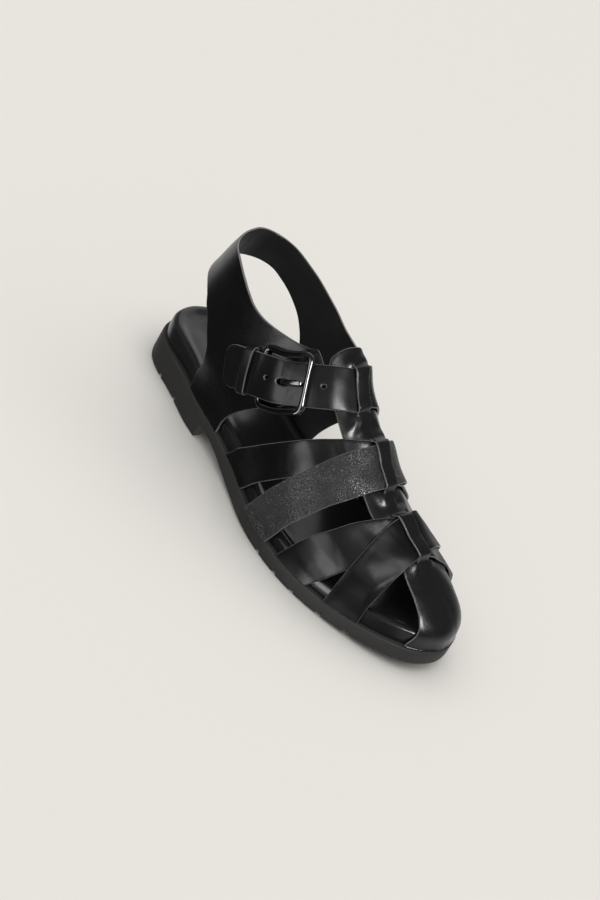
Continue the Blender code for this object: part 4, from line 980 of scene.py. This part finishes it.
def sweep(path, up, half_a, half_b, power, ring=True):
    """Superellipse section along a path: half_a across, half_b along `up`."""
    n, count = len(path), SECTION_POINTS
    before, after = (path[-1:], path[:1]) if ring else (path[:1], path[-1:])
    t = unit(np.vstack([path[1:], after]) - np.vstack([before, path[:-1]]))
    u = unit(up - t * (up * t).sum(axis=1)[:, None])
    a = 2 * math.pi * (np.arange(count) + 0.5) / count
    ca, sa = [(np.sign(c) * np.abs(c) ** power)[:, None] for c in (np.cos(a), np.sin(a))]
    wide, high = np.cross(t, u) * np.reshape(half_a, (-1, 1)), u * np.reshape(half_b, (-1, 1))
    verts = path[:, None] + wide[:, None] * ca + high[:, None] * sa
    faces = ring_faces(n, count, ring)
    if not ring:
        faces += [tuple(range(count)), tuple(range((n - 1) * count, n * count))[::-1]]
    return verts.reshape(-1, 3), faces


def rounded_box_loop(half_w, half_h, radius, spacing):
    """Counter-clockwise closed loop of a box with round corners."""
    corners = [arc_points(sx * (half_w - radius), sy * (half_h - radius), radius, start, start + 90, 9)
               for sx, sy, start in ((1, 1, 0), (-1, 1, 90), (-1, -1, 180), (1, -1, 270))]
    return closed_samples(np.vstack(corners), spacing)


def frame_point(t, w, lift):
    """Frame middle line: 0 at the front bar to 1 at the heel bar, and across."""
    front, heel = [(bar[0] + bar[1] * w, bar[2] + bar[3] * w) for bar in (FRONT_BAR, HEEL_BAR)]
    s, h = [a + (b - a) * t for a, b in zip(front, heel)]
    return closure_point(s, w, h - FRAME_SAG * 4 * t * (1 - t) + lift)


def make_frame(materials):
    reach = HEEL_BAR[0] - FRONT_BAR[0]
    t, w = rounded_box_loop(reach / 2, FRAME_HALF, FRAME_CORNER, FRAME_STEP).T
    t = t / reach + 0.5
    path = frame_point(t, w, 0)
    up = frame_point(t, w, 1) - path
    radius = BAR_RADIUS + BAR_SWELL * ramp(np.abs(w) / FRAME_HALF, *SWELL_RAMP)
    return mesh_piece("buckle_frame_wire", *sweep(path, up, radius, radius, ROUND), materials)


def make_prong(materials):
    s, h = smooth_line(PRONG, PRONG_STEP).T
    path = closure_point(s, 0, h)
    up = closure_point(s, 0, h + 1) - path
    to_tip = lengths(path)[-1] - lengths(path)
    ease = np.sqrt(np.clip(1 - (1 - np.clip(to_tip / PRONG_TIP, 0, 1)) ** 2, PRONG_BLUNT, 1))
    wide = PRONG_HALF_WIDTH * (1 - PRONG_TAPER + PRONG_TAPER * ease)
    verts, faces = sweep(path, up, wide, PRONG_HALF_THICK * ease, SQUARE, False)
    return mesh_piece("buckle_prong_tongue", verts, faces, materials, sharp=50)


def make_keeper(materials):
    low, high = KEEPER_HEIGHTS
    w, up = rounded_box_loop(KEEPER_REACH, (high - low) / 2, KEEPER_CORNER, KEEPER_STEP).T
    crown = KEEPER_CROWN[0] * np.cos(w / KEEPER_REACH * KEEPER_CROWN[1])
    height = (low + high) / 2 + up + np.where(up > 0, crown - KEEPER_DROP, 0)
    along = np.full(len(w), KEEPER_ALONG)
    path = closure_point(along, w, height)
    ahead = closure_point(along + 1, w, height) - path
    up = np.cross(ahead, np.roll(path, -1, axis=0) - np.roll(path, 1, axis=0))
    verts, faces = sweep(path, up, KEEPER_HALF, KEEPER_LEATHER / 2, FLAT)
    keeper = mesh_piece("strap_keeper", verts, faces, materials)
    for i, face in enumerate(keeper.data.polygons):
        if abs(math.cos(2 * math.pi * (i % SECTION_POINTS + 1) / SECTION_POINTS)) > KEEPER_EDGE:
            face.material_index = 1
    return keeper


# ---- soles
# Tread surface of the waist: y from the heel, height over the floor.
SHANK = np.array(((74.8, 9.9), (85, 9.2), (93, 7.6), (101, 5.4), (108, 3.8), (116, 2.5), (128, 1.4),
                  (140, 0.6), (150, 0)))
BREAST_Y = 72
BREAST_SLOPE = 0.6  # length of the heel breast's slope
GROOVES = (24.6, 43.4, 160, 176.2, 191, 209.8, 226.6)
GROOVE_HALF = 1.7
GROOVE_DEPTH = 2.1
GROOVE_WALL = 0.55
WALL_STATIONS = (0, 0.25, 0.5)  # stations of a groove's wall, in from its rim
STATION_GAP = 0.4  # least distance of the others from these
RIB_PITCH = 3  # fine tread between the grooves
RIB_DEPTH = 0.5
RIB_BAND = (0.12, 0.08)  # ramp of the ribs in from each side, as shares of the width
RIB_FORM = (1.6, 0.3)  # steepness of a rib's sides, and what is taken off for the valley
PLAIN_WAIST = (70, 146)  # the waist has no ribs
# Side wall of the outsole from the tread edge to the top: inset, share of the height.
WALL = ((1.3, 0), (0.6, 0.015), (0.15, 0.06), (0, 0.14), (0, 0.5), (0, 0.86), (0.12, 0.93), (0.4, 0.98),
        (0.85, 1), (3.6, 1))
# Footbed from its lower edge over the rim to the seat: inset from the sole edge, height over the outsole.
RIM = ((3.6, 0.1), (3.2, 0.5), (3.1, 2), (3.1, 4), (3.3, 5.5), (3.9, 6.75), (4.9, 7.65), (6.2, 8.15),
       (7.6, 8.1), (8.9, 7.65), (10.2, 7.15), (11.6, 6.8), (13.4, 6.6))
SEAT_CUP = 1.6  # depth of the dish at the heel
BED_CUP = 0.4  # and ahead of it
HEEL_FILL = (1.3, 3.6)  # the rim at the heel: outward, up
TOE_FILL = 2  # the rim at the toe: up
TOE_EASE = 0.5  # and inward
# Ramps of the footbed along the shoe, and of its dish in from the sole edge.
HEEL_OUT_RAMP = (12, 26)
HEEL_UP_RAMP = (14, 40)
TOE_UP_RAMP = (200, 36)
TOE_IN_RAMP = (236, 18)
CUP_RAMP = (70, 60)
DISH_RAMP = (12.6, 15)
FILL_WIDTH = 12  # the rim is moved outward less and less over the inner half of this inset
FILL_HEIGHT = 6  # and moved up fully from this height
OUTSOLE_STEP, FOOTBED_STEP = 0.75, 1.1  # between stations
OUTSOLE_COLUMNS = (20, 4)  # of faces across the tread and across the top
FOOTBED_COLUMNS = (2, 22)  # of faces across the underside and across the seat
DENSE = sole_ring(1800)
SOLE_SIDES = two_sides(np.c_[DENSE, outward(DENSE)])


def sole_stations(step):
    """Stations from heel to toe, closer at the ends, with pairs at the breast and the grooves."""
    y0, y1 = DENSE[:, 1].min(), DENSE[:, 1].max()
    count = int((y1 - y0) / step)
    base = (y0 + y1) / 2 - (y1 - y0) / 2 * np.cos(math.pi * np.arange(1, count) / count)
    walls = np.add.outer(GROOVES, np.multiply.outer((-1, 1), GROOVE_HALF - np.array(WALL_STATIONS)))
    special = np.r_[BREAST_Y, BREAST_Y + BREAST_SLOPE, SHANK[0, 0], walls.ravel()]
    return np.sort(np.r_[special, [b for b in base if np.abs(special - b).min() > STATION_GAP]])


def station_ring(stations, inset):
    """Outline points at the stations: heel, lateral side, toe, medial side back to the heel."""
    lat, med = [columns_at(stations, SOLE_SIDES[side][:, 1], SOLE_SIDES[side]) for side in (1, -1)]
    ring = np.vstack([SOLE_SIDES[1][:1], lat, SOLE_SIDES[1][-1:], med[::-1]])
    return ring[:, :2] - unit(ring[:, 2:]) * inset


def bottom_z(y):
    """Tread surface: flat heel, raised waist, flat forefoot with grooves, toe spring."""
    waist = (y > BREAST_Y + BREAST_SLOPE / 2) & (y < SHANK[-1, 0])
    z = np.where(waist, hermite(*SHANK.T, np.clip(y, SHANK[0, 0], SHANK[-1, 0])), spring(y, 1.7))
    for g in GROOVES:
        z = z + GROOVE_DEPTH * smooth((GROOVE_HALF - np.abs(y - g)) / GROOVE_WALL)
    return z


def ribs(p, across):
    """Fine ribs of the tread, away from its sides; across runs 0 to 1."""
    if PLAIN_WAIST[0] <= p[1] <= PLAIN_WAIST[1]:
        return 0
    rib = smooth(RIB_FORM[0] * abs(((p[1] / RIB_PITCH) % 1) * 2 - 1) - RIB_FORM[1])
    return RIB_DEPTH * ramp(min(across, 1 - across), *RIB_BAND) * rib


def dish(p, across):
    """Seat of the footbed: cupped inside its rim, deepest at the heel."""
    away = np.hypot(DENSE[:, 0] - p[0], DENSE[:, 1] - p[1]).min()
    cup = BED_CUP + (SEAT_CUP - BED_CUP) * (1 - ramp(p[1], *CUP_RAMP))
    return -cup * ramp(away, *DISH_RAMP)


def fill_across(verts, faces, base, n, columns, lift=lambda p, across: 0):
    """Close a heel-to-toe ring with columns of faces from its lateral to its medial points."""
    half = n // 2
    rows = []
    for i in range(half + 1):
        row = [base + i]
        if 0 < i < half:
            a, b = np.array(verts[base + i]), np.array(verts[base + n - i])
            for t in np.linspace(0, 1, columns + 1)[1:-1]:
                p = a + (b - a) * t
                verts.append((p[0], p[1], p[2] + float(lift(p, t))))
                row.append(len(verts) - 1)
            row.append(base + n - i)
        rows.append(row if len(row) > 1 else row * (columns + 1))
    for r0, r1 in zip(rows, rows[1:]):
        faces += [tuple(dict.fromkeys((r0[k], r1[k], r1[k + 1], r0[k + 1]))) for k in range(columns)]


def sole_piece(name, rings, low_fill, high_fill, materials, sharp=None):
    """Piece of heel-to-toe rings from the bottom up, closed across at both ends."""
    n = len(rings[0])
    verts = np.vstack(rings).tolist()
    faces = ring_faces(len(rings), n)
    fill_across(verts, faces, 0, n, *low_fill)
    fill_across(verts, faces, (len(rings) - 1) * n, n, *high_fill)
    return mesh_piece(name, verts, faces, materials, sharp)


def make_outsole(materials):
    stations = sole_stations(OUTSOLE_STEP)
    y = station_ring(stations, 0)[:, 1]
    low, high = bottom_z(y), top_z(y)
    rings = [np.c_[station_ring(stations, inset), low + (high - low) * share] for inset, share in WALL]
    tread, top = OUTSOLE_COLUMNS
    return sole_piece("outsole_moulded", rings, (tread, ribs), (top,), materials, sharp=38)


def make_footbed(materials):
    stations = sole_stations(FOOTBED_STEP)
    edge = station_ring(stations, 0)
    y = edge[:, 1]
    inward = edge - station_ring(stations, 1)
    fill = HEEL_FILL[0] * (1 - ramp(y, *HEEL_OUT_RAMP))
    lift = HEEL_FILL[1] * (1 - ramp(y, *HEEL_UP_RAMP)) + TOE_FILL * ramp(y, *TOE_UP_RAMP)
    ease = TOE_EASE * ramp(y, *TOE_IN_RAMP)
    rings = []
    for inset, height in spline(RIM, 4):
        out = inset + ease - fill * min(1, 2 - 2 * min(inset / FILL_WIDTH, 1))
        ring = edge - inward * out[:, None]
        rings.append(np.c_[ring, top_z(ring[:, 1]) + height + lift * min(1, height / FILL_HEIGHT)])
    under, seat = FOOTBED_COLUMNS
    return sole_piece("footbed_covered", rings, (under,), (seat, dish), materials)


# ---- materials
class Nodes:
    """Short hand for building the node tree of a material or a world."""

    def __init__(self, owner):
        owner.use_nodes = True
        self.owner = owner
        self.tree = owner.node_tree
        self.coordinates = self.tree.nodes.new("ShaderNodeTexCoord").outputs
        self.place = self.coordinates["Object"]

    def fill(self, node, inputs):
        for key, value in inputs.items():
            if isinstance(value, bpy.types.NodeSocket):
                self.tree.links.new(value, node.inputs[key])
            elif value is not None:
                node.inputs[key].default_value = value

    def add(self, kind, output, inputs, **settings):
        node = self.tree.nodes.new("ShaderNode" + kind)
        for key, value in settings.items():
            setattr(node, key, value)
        self.fill(node, inputs)
        return node.outputs[output]

    def noise(self, scale, detail=3, roughness=0.55, output="Fac"):
        return self.add("TexNoise", output, {"Vector": self.place, "Scale": scale, "Detail": detail,
                                             "Roughness": roughness})

    def cells(self, scale, feature="F1", at=None):
        inputs = {"Vector": at or self.place, "Scale": scale}
        return self.add("TexVoronoi", "Distance", inputs, feature=feature)

    def spread(self, *values, kind="LINEAR"):
        """Map a value from one range to another, 0 to 1 unless given, clamped."""
        return self.add("MapRange", "Result", dict(enumerate(values)), interpolation_type=kind)

    def math(self, operation, a, b, kind="Math", output=0):
        return self.add(kind, output, {0: a, 1: b}, operation=operation)

    def colour(self, fac, dark, light):
        return self.add("Mix", 2, {0: fac, 6: (*dark, 1), 7: (*light, 1)}, data_type="RGBA")

    def bump(self, height, strength, distance, normal=None):
        return self.add("Bump", "Normal", {"Height": height, "Strength": strength, "Distance": distance,
                                           "Normal": normal})

    def finish(self, colour, rough, normal=None, shine=0.5, metal=0):
        self.fill(self.tree.nodes["Principled BSDF"], {
            "Base Color": colour, "Roughness": rough, "Normal": normal, "Specular IOR Level": shine,
            "Metallic": metal})
        return self.owner


def new_material(name):
    return Nodes(bpy.data.materials.new(name))


NICKEL_NOISE = ((150, 3), (600, 4, 0.6), ((None, 0.12, 0.00004),))
# Surfaces: the colour's cloud noise, the fine noise that sets the roughness, bumps in order (pore cells, or
# None for the fine noise, strength, depth in m), dark, light, roughness, shine, metal.
SURFACES = {
    # Dressed cut edge of the straps, duller than the face and lighter than it: partly the edge's own
    # dressing, partly a painted highlight for the thin light line the rounded edge catches.
    "cut_edge_painted_highlight": ((120, 2), (700, 5, 0.7), ((None, 0.4, 0.00008),),
                 (0.12, 0.117, 0.112), (0.2, 0.195, 0.188), (0.32, 0.5), 0.55, 0),
    # Unfinished inner side of the straps: matt, fibrous, charcoal.
    "flesh_side": ((70, 4), (1400, 5, 0.7), ((None, 0.35, 0.00008),),
                   (0.014, 0.014, 0.0146), (0.021, 0.021, 0.0218), (0.5, 0.66), 0.4, 0),
    # Cover of the footbed: black, smooth, faintly cloudy, finely pored.
    "bed_leather": ((30, 4, 0.6), (900, 4, 0.6), (((1300, 0.4), 0.15, 0.00003), (None, 0.15, 0.00003)),
                    (0.010, 0.010, 0.0112), (0.016, 0.016, 0.018), (0.19, 0.27), 0.5, 0),
    # Matt moulded rubber, warm grey-black, with fine mould texture and pits.
    "sole_rubber": ((45, 4, 0.6), (2200, 4, 0.65), ((None, 0.45, 0.00008), ((1100, 2), 0.2, 0.00012)),
                    (0.0175, 0.017, 0.0162), (0.0295, 0.0287, 0.0272), (0.62, 0.78), 0.4, 0),
    # Dark plated metal with faint polishing marks.
    "black_nickel": (*NICKEL_NOISE, (0.104, 0.104, 0.108), (0.13, 0.13, 0.135), (0.13, 0.21), 0.5, 1),
    "prong_nickel": (*NICKEL_NOISE, (0.128, 0.128, 0.1336), (0.16, 0.16, 0.167), (0.13, 0.21), 0.5, 1),
}
# Smooth black leather: tone, roughness, grain, shine.
LEATHERS = {
    "polished_leather": (1, (0.22, 0.31), 0.25, 0.5),
    "quarter_leather": (0.95, (0.24, 0.33), 0.3, 0.5),
    "centre_leather": (1.1, (0.22, 0.31), 0.4, 0.5),
    "buckle_leather": (1.6, (0.25, 0.35), 0.5, 0.4),
    "keeper_leather_face": (1.2, (0.25, 0.35), 0.4, 0.5),
    "fore_leather": (1.1, (0.26, 0.35), 0.35, 0.36),
    "worn_leather": (1, (0.36, 0.46), 0.45, 0.16),
}
LEATHER_DARK = np.array((0.0030, 0.0030, 0.0034))
LEATHER_LIGHT = np.array((0.0058, 0.0058, 0.0064))


def surface(name):
    cloud, fine, bumps, dark, light, rough, shine, metal = SURFACES[name]
    m = new_material(name)
    fine = m.noise(*fine)
    normal = None
    for pores, strength, depth in bumps:
        height = m.spread(m.cells(pores[0]), 0, pores[1]) if pores else fine
        normal = m.bump(height, strength, depth, normal)
    rough = m.spread(fine, 0.3, 0.7, *rough)
    return m.finish(m.colour(m.noise(*cloud), dark, light), rough, normal, shine, metal)


def polished_leather(name):
    """Smooth black leather: fine pores, faint cloudy colour, rubbed and duller patches."""
    tone, rough, grain, shine = LEATHERS[name]
    m = new_material(name)
    cloud = m.noise(38, 4)
    wear = m.math("MULTIPLY", m.noise(90, 5, 0.65), 0.6)
    rough = m.spread(m.math("ADD", wear, m.math("MULTIPLY", cloud, 0.4)), 0.3, 0.7, *rough)
    normal = m.bump(m.spread(m.cells(1500), 0, 0.35), 0.48 * grain, 0.00006)
    normal = m.bump(m.noise(420, 5, 0.6), 1.4 * grain, 0.00007, normal)
    return m.finish(m.colour(cloud, LEATHER_DARK * tone, LEATHER_LIGHT * tone), rough, normal, shine)


def grained_leather(name):
    """Pebbled black leather with a soft sheen that breaks up the light."""
    m = new_material(name)
    vector = "VectorMath"
    wobble = m.math("MULTIPLY", m.noise(900, 2, 0.5, "Color"), (0.0004, 0.0004, 0.0004), vector)
    pebbles = m.spread(m.cells(950, "DISTANCE_TO_EDGE", m.math("ADD", m.place, wobble, vector)), 0, 0.2)
    normal = m.bump(pebbles, 1, 0.00027)
    normal = m.bump(m.noise(2600, 3, 0.6), 0.6, 0.00007, normal)
    # Colour darker towards the pebbles' edges: painted shade in the grain's crevices, times a random cloudy
    # tone.
    crevice_shade_and_tone = m.math("MULTIPLY", pebbles, m.spread(m.noise(60, 3), 0.2, 0.8, 0.7, 1))
    return m.finish(m.colour(crevice_shade_and_tone, (0.0015, 0.0015, 0.0016), (0.0045, 0.0045, 0.0047)),
                    m.spread(pebbles, 0, 1, 0.48, 0.38), normal, 1)


# ---- the pieces
def carry(piece, slot_name, *nodes):
    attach(piece, "root")
    if nodes:
        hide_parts(*nodes)


# The cut edge's lighter colour is partly a painted highlight along the strap edges.
EDGE_WITH_PAINTED_HIGHLIGHT = surface("cut_edge_painted_highlight")
INNER = surface("flesh_side")
FACES = {name: polished_leather(name) for name in LEATHERS}
FACES["grained_leather"] = grained_leather("grained_leather")
SLITS = [slit_loop(ys, xs) for ys, *sides in BRIDGES for xs in sides]
# Panels of the upper: face, rounding of the corners, holes, narrowing of the rims, replaced nodes.
UPPER = {
    "rear_strap_outer": ("polished_leather", 0.9, [], None),
    "rear_strap_inner": ("grained_leather", 0.9, [], None),
    "fore_strap_outer": ("fore_leather", 0.9, [], None),
    "fore_strap_inner": ("worn_leather", 0.9, [], None),
    "medial_quarter": ("quarter_leather", 0.6, [], seam_tight),
    "lateral_quarter": ("quarter_leather", 0.6, [], seam_tight),
    "centre_strap": ("centre_leather", 0.9, SLITS, None, "upper"),
}

carry(make_outsole([surface("sole_rubber")]), "outsole_rubber", "outsole")
carry(make_footbed([surface("bed_leather")]), "footbed_leather", "footbed")
for strap_name, (face_name, corner, holes, tight, *nodes) in UPPER.items():
    carry(panel(strap_name, round_corners(PATTERNS[strap_name], corner), holes, on_last,
                lining_height(strap_name), [FACES[face_name], EDGE_WITH_PAINTED_HIGHLIGHT, INNER], tight=tight),
          "upper_leather", *nodes)
punches = [arc_points(s, 0, PUNCH_RADIUS, 0, 360, 25)[:-1] for s in PUNCH_ALONG]
slot_mid, slot_reach = sum(SLOT_ALONG) / 2, (SLOT_ALONG[1] - SLOT_ALONG[0]) / 2
punches.append(rounded_box_loop(slot_reach, SLOT_HALF, SLOT_HALF - 0.05, 0.5) + (slot_mid, 0))
carry(panel("buckle_strap", closure_outline(), punches, closure_point, closure_height,
            [FACES["buckle_leather"], EDGE_WITH_PAINTED_HIGHLIGHT, INNER], CLOSURE_LEATHER, CLOSURE_STEP),
      "closure_leather", "closure_strap")
carry(make_frame([surface("black_nickel")]), "frame_metal", "buckle_frame")
carry(make_prong([surface("prong_nickel")]), "prong_metal", "buckle_prong")
carry(make_keeper([FACES["keeper_leather_face"], EDGE_WITH_PAINTED_HIGHLIGHT]), "keeper_leather", "keeper")

# ---- stage
FLOOR_HALF = 2.5  # metres
FLOOR_COLOUR = (0.80, 0.777, 0.733, 1)
AT_SHOE = (0, 0, 0.05)
# Lights that look at a point of the shoe: direction, distance and size in m, power, whether they show in
# reflections only, and the point.
LIGHTS = {
    "overhead": ((0, 0, 1), 3.2, (10, 10), 361, False, AT_SHOE),
    "key_fore": ((0.229, 0.629, 0.743), 1.8, (0.73, 0.5), 30, True, AT_SHOE),
    "key_side": ((0.946, -0.099, 0.309), 1.8, (0.9, 0.9), 8.2, True, AT_SHOE),
    "wall_medial": ((-0.742, -0.52, 0.423), 1.8, (1.45, 1.31), 3.9, True, AT_SHOE),
    "strip_toe": ((0.973, 0.102, -0.208), 0.5, (0.14, 0.4), 1.1, True, (0.035, 0.07, 0.02)),
}
CAMERA_AT = (1141.79, 836.56, 970.67)  # working axes, mm
CAMERA_AXES = ((-0.70685, 0.56152, 0.43018), (-0.13351, -0.70313, 0.69842), (0.69465, 0.43625, 0.57197))
LENS = 117.11
SENSOR = 36


def make_floor():
    bm = bmesh.new()
    bmesh.ops.create_grid(bm, x_segments=8, y_segments=8, size=FLOOR_HALF)
    paint = new_material("floor_paint").finish(FLOOR_COLOUR, 1, shine=0)
    floor = finish_mesh("studio_floor", bm, [paint])
    floor.visible_glossy = False
    floor.visible_shadow = False


def studio_world():
    """Pale studio all round, dim overhead, with a dark corner low on the lateral side behind the heel."""
    w = Nodes(bpy.data.worlds.new("studio"))

    def fade(toward, *ends):
        way = Vector(toward).normalized()
        dot = w.math("DOT_PRODUCT", w.coordinates["Generated"], way, "VectorMath", "Value")
        return w.spread(dot, *ends, kind="SMOOTHSTEP")

    corner = fade((0.875, -0.235, -0.423), 0.36, 0.64, 0.8, 0.04)
    overhead = fade((0, 0, 1), -0.25, 0.25, 1, 0.2)
    w.fill(w.tree.nodes["Background"], {"Color": (1, 0.99, 0.98, 1),
                                        "Strength": w.math("MULTIPLY", corner, overhead)})
    bpy.context.scene.world = w.owner


def soft_box(name, toward, distance, size, power, reflected, at):
    lamp = bpy.data.lights.new(name, "AREA")
    lamp.shape = "RECTANGLE"
    lamp.size, lamp.size_y = size
    lamp.energy = power
    obj = put_in_scene(name, lamp)
    way = Vector(toward).normalized()
    obj.location = Vector(at) + way * distance
    obj.rotation_euler = way.to_track_quat("Z", "Y").to_euler()
    obj.visible_glossy = reflected
    obj.visible_diffuse = not reflected
    obj.visible_camera = False


def make_camera():
    data = bpy.data.cameras.new("camera")
    data.lens = LENS
    data.sensor_width = SENSOR
    data.sensor_fit = "AUTO"
    data.clip_start, data.clip_end = 0.05, 20
    camera = put_in_scene("camera", data)
    turn = Matrix(CAMERA_AXES).transposed().to_4x4()
    camera.matrix_world = Matrix.Translation(to_frame(CAMERA_AT).tolist()) @ turn
    bpy.context.scene.camera = camera


make_floor()
studio_world()
for light_name, light in LIGHTS.items():
    soft_box(light_name, *light)
make_camera()
bpy.context.scene.view_settings.view_transform = "Standard"
